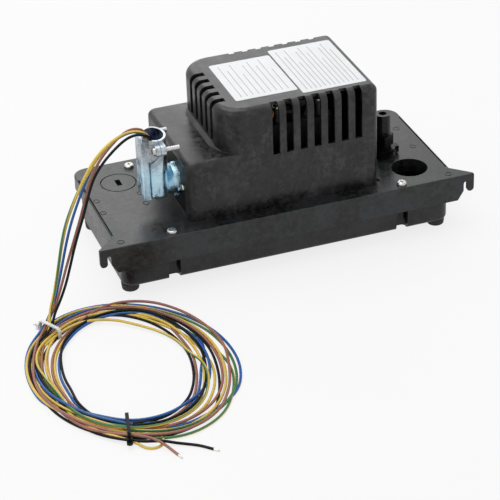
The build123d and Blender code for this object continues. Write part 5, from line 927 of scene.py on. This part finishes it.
class PUMP_OT_plug(bpy.types.Operator):
    """Turns the blanking plug in its hole, so that its coin slot runs from front to back"""

    bl_idname = "pump.plug"
    bl_label = "Blanking plug"

    def execute(self, context):
        colours = context.scene.pump_colours
        sizes = context.scene.pump_sizes
        low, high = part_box("inlet_plug")
        middle = Matrix.Translation(((low[0] + high[0]) / 2, (low[1] + high[1]) / 2, 0))
        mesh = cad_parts["inlet_plug"].data.copy()
        mesh.transform(middle @ Matrix.Rotation(sizes.plug_turn, 4, "Z") @ middle.inverted())
        finish = moulded_plastic("Plug moulding", colours.lid, sizes.grain)
        plug = add_mesh("turned_plug", mesh, finish, "plug_unit", smooth=False)
        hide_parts("inlet_plug")
        return {"FINISHED"}


class PUMP_OT_labels(bpy.types.Operator):
    """Sticks the two plain ruled labels on top of the cover"""

    bl_idname = "pump.labels"
    bl_label = "Labels"

    def execute(self, context):
        paper = blank_paper("Label paper", context.scene.pump_colours.label)
        ink = blank_paper("Label ink", (0.36, 0.37, 0.38))
        lift = context.scene.pump_sizes.label_lift
        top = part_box("motor_cover")[1][2] + 0.00002
        label_sheet("data_label", (-0.0325, -0.0355), (0.0198, 0.0325), top, lift, paper)
        label_sheet("side_label", (0.0213, -0.0430), (0.0756, 0.0400), top, lift, paper)
        ruled_lines("data_rules", (-0.0285, -0.0305), (0.0160, 0.0275), top + lift, 9, ink)
        ruled_lines("side_rules", (0.0245, -0.0385), (0.0720, 0.0350), top + lift, 12, ink)
        return {"FINISHED"}


def screw_thread(name, base, axis, radius, pitch, turns, depth, material):
    """One ridge wound round a core, tapering away at both ends."""
    axis = Vector(axis).normalized()
    side = axis.orthogonal().normalized()
    up = axis.cross(side)
    around = 28
    shape = bmesh.new()
    rows = []
    for step in range(int(around * turns) + 1):
        share = step / around
        angle = math.tau * share
        out = side * math.cos(angle) + up * math.sin(angle)
        fade = min(1.0, share / 0.7, (turns - share) / 0.7)
        centre = Vector(base) + axis * (pitch * share)
        foot, crest = out * (radius - depth * 0.2), out * (radius + depth * fade)
        rows.append(
            [
                shape.verts.new(centre - axis * pitch * 0.42 + foot),
                shape.verts.new(centre - axis * pitch * 0.07 + crest),
                shape.verts.new(centre + axis * pitch * 0.07 + crest),
                shape.verts.new(centre + axis * pitch * 0.42 + foot),
            ]
        )
    for low, high in zip(rows, rows[1:]):
        join_rows(shape, low, high, closed=False)
    bmesh.ops.recalc_face_normals(shape, faces=shape.faces)
    return add_shape(name, shape, material)


def mould_rings(name, places, radius, width, height, material):
    """Low round ridges on the lid, left by the ejector pins of the mould."""
    shape = bmesh.new()
    around = 40
    section = ((-1.0, -0.3), (-0.6, 0.75), (0.0, 1.0), (0.6, 0.75), (1.0, -0.3))
    for x, y in places:
        rows = []
        for step in range(around):
            angle = math.tau * step / around
            row = []
            for across, tall in section:
                reach = radius + width / 2 * across
                place = (x + reach * math.cos(angle), y + reach * math.sin(angle), LID_TOP + height * tall)
                row.append(shape.verts.new(place))
            rows.append(row)
        for step in range(around):
            join_rows(shape, rows[(step + 1) % around], rows[step], closed=False)
    bmesh.ops.recalc_face_normals(shape, faces=shape.faces)
    return add_shape(name, shape, material)


class PUMP_OT_marks(bpy.types.Operator):
    """Adds the mould's ejector rings and the fine threads"""

    bl_idname = "pump.marks"
    bl_label = "Mould marks and threads"

    def execute(self, context):
        colours = context.scene.pump_colours
        grain = context.scene.pump_sizes.grain
        lid = moulded_plastic("Ejector rings", scaled(colours.lid, 0.6), grain, (0.3, 0.4))
        mould_rings("ejector_rings", EJECTOR_PLACES, radius=0.0025, width=0.0008, height=0.0003, material=lid)
        mould_rings("corner_rings", CORNER_PLACES, radius=0.0026, width=0.0009, height=0.00035, material=lid)
        black = smooth_plastic("Spigot thread", (0.008, 0.008, 0.009), (0.16, 0.26), 0.35)
        low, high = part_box("discharge_spigot")
        screw_thread(
            "spigot_thread", ((low[0] + high[0]) / 2, (low[1] + high[1]) / 2, SPIGOT_THREAD_LOW), (0, 0, 1),
            radius=0.0064, pitch=0.00115, turns=12.6, depth=0.00032, material=black,
        )
        steel = worked_metal("Clamp screw thread", (0.6, 0.6, 0.6))
        for name, y in CLAMP_THREAD_Y.items():
            screw_thread(
                "clamp_thread_" + name, (CLAMP_THREAD_X, y, CLAMP_THREAD_Z), (1, 0, 0),
                radius=0.0019, pitch=0.0007, turns=19.5, depth=0.00018, material=steel,
            )
        return {"FINISHED"}


class PUMP_OT_stage(bpy.types.Operator):
    """Sets the pale floor, the soft lights and the camera"""

    bl_idname = "pump.stage"
    bl_label = "Stage"

    def execute(self, context):
        stage = context.scene.pump_stage
        scene = context.scene
        self.add_camera(scene)
        self.add_floor(scene, stage)
        self.add_sky(scene, stage)
        self.add_lamp(scene, "Key", (-0.35, 0.25, 1.5), (0, 0, 0.06), 1.5, stage.key)
        self.add_lamp(scene, "Fill", (-1.4, -0.9, 0.7), (-0.03, -0.04, 0.06), 1.2, stage.fill)
        self.add_lamp(scene, "Back", (0.35, 1.5, 0.85), (0, 0, 0.06), 0.9, stage.back)
        scene.view_settings.view_transform = "Standard"
        return {"FINISHED"}

    def add_camera(self, scene):
        place = Vector(CAMERA_PLACE)
        forward = (Vector(CAMERA_TARGET) - place).normalized()
        right = forward.cross(Vector((0, 0, 1))).normalized()
        up = right.cross(forward)
        roll = math.radians(CAMERA_ROLL)
        tilted_right = right * math.cos(roll) + up * math.sin(roll)
        tilted_up = up * math.cos(roll) - right * math.sin(roll)
        data = bpy.data.cameras.new("Photograph view")
        data.lens = CAMERA_LENS
        data.sensor_width = 36
        data.clip_end = 20
        camera = bpy.data.objects.new("Photograph view", data)
        turn = Matrix((tilted_right, tilted_up, -forward)).transposed().to_4x4()
        camera.matrix_world = Matrix.Translation(place) @ turn
        scene.collection.objects.link(camera)
        scene.camera = camera

    def add_floor(self, scene, stage):
        mesh = bpy.data.meshes.new("Studio floor")
        reach = 6.0
        corners = [(-reach, -reach, 0), (reach, -reach, 0), (reach, reach, 0), (-reach, reach, 0)]
        mesh.from_pydata(corners, [], [(0, 1, 2, 3)])
        floor = bpy.data.objects.new("Studio floor", mesh)
        floor.location = (0, 0, -0.0002)
        scene.collection.objects.link(floor)
        material, tree, shader = new_finish("Floor paint")
        shader.inputs["Base Color"].default_value = (*stage.floor, 1)
        shader.inputs["Roughness"].default_value = 0.7
        shader.inputs["Specular IOR Level"].default_value = 0.1
        glow = tree.nodes.new("ShaderNodeEmission")
        glow.inputs["Strength"].default_value = 1.0
        path = tree.nodes.new("ShaderNodeLightPath")
        seen = math_node(tree, "MULTIPLY", path.outputs["Is Camera Ray"], 0.8)
        share = math_node(tree, "MULTIPLY_ADD", path.outputs["Is Glossy Ray"], 0.55, seen)
        output = next(node for node in tree.nodes if node.type == "OUTPUT_MATERIAL")
        mix_shaders(tree, share, shader.outputs["BSDF"], glow.outputs["Emission"], output)
        mesh.materials.append(material)

    def add_sky(self, scene, stage):
        world = bpy.data.worlds.new("Studio")
        world.use_nodes = True
        tree = world.node_tree
        tree.nodes.clear()
        output = tree.nodes.new("ShaderNodeOutputWorld")
        rooms = []
        for strength in (stage.sky, 1.0):
            room = tree.nodes.new("ShaderNodeBackground")
            room.inputs["Color"].default_value = (1, 1, 1, 1)
            room.inputs["Strength"].default_value = strength
            rooms.append(room.outputs["Background"])
        path = tree.nodes.new("ShaderNodeLightPath")
        either = math_node(tree, "MAXIMUM", path.outputs["Is Camera Ray"], path.outputs["Is Glossy Ray"])
        share = math_node(tree, "MAXIMUM", either, path.outputs["Is Transmission Ray"])
        mix_shaders(tree, share, *rooms, output)
        scene.world = world

    def add_lamp(self, scene, name, place, target, size, power):
        data = bpy.data.lights.new(name, "AREA")
        data.energy = power
        data.shape = "DISK"
        data.size = size
        lamp = bpy.data.objects.new(name, data)
        lamp.location = Vector(place)
        way = (Vector(target) - Vector(place)).normalized()
        lamp.rotation_euler = way.to_track_quat("-Z", "Y").to_euler()
        scene.collection.objects.link(lamp)


class PUMP_PT_panel(bpy.types.Panel):
    bl_label = "Condensate Pump"
    bl_idname = "PUMP_PT_panel"
    bl_space_type = "VIEW_3D"
    bl_region_type = "UI"
    bl_category = "Pump"

    def draw(self, context):
        layout = self.layout
        for operator in OPERATORS:
            layout.operator(operator.bl_idname)
        for group in (context.scene.pump_colours, context.scene.pump_sizes, context.scene.pump_stage):
            box = layout.box()
            for name in group.bl_rna.properties.keys():
                if name not in ("rna_type", "name"):
                    box.prop(group, name)


GROUPS = (PumpColours, PumpSizes, PumpStage)
OPERATORS = (PUMP_OT_stage, PUMP_OT_leads, PUMP_OT_finishes, PUMP_OT_plug, PUMP_OT_labels, PUMP_OT_marks)


def register():
    for kind in GROUPS + OPERATORS + (PUMP_PT_panel,):
        bpy.utils.register_class(kind)
    bpy.types.Scene.pump_colours = bpy.props.PointerProperty(type=PumpColours)
    bpy.types.Scene.pump_sizes = bpy.props.PointerProperty(type=PumpSizes)
    bpy.types.Scene.pump_stage = bpy.props.PointerProperty(type=PumpStage)


def unregister():
    del bpy.types.Scene.pump_stage
    del bpy.types.Scene.pump_sizes
    del bpy.types.Scene.pump_colours
    for kind in reversed(GROUPS + OPERATORS + (PUMP_PT_panel,)):
        bpy.utils.unregister_class(kind)


def main():
    register()
    bpy.ops.pump.stage()
    bpy.ops.pump.leads()
    bpy.ops.pump.finishes()
    bpy.ops.pump.plug()
    bpy.ops.pump.labels()
    bpy.ops.pump.marks()


if __name__ == "__main__":
    main()
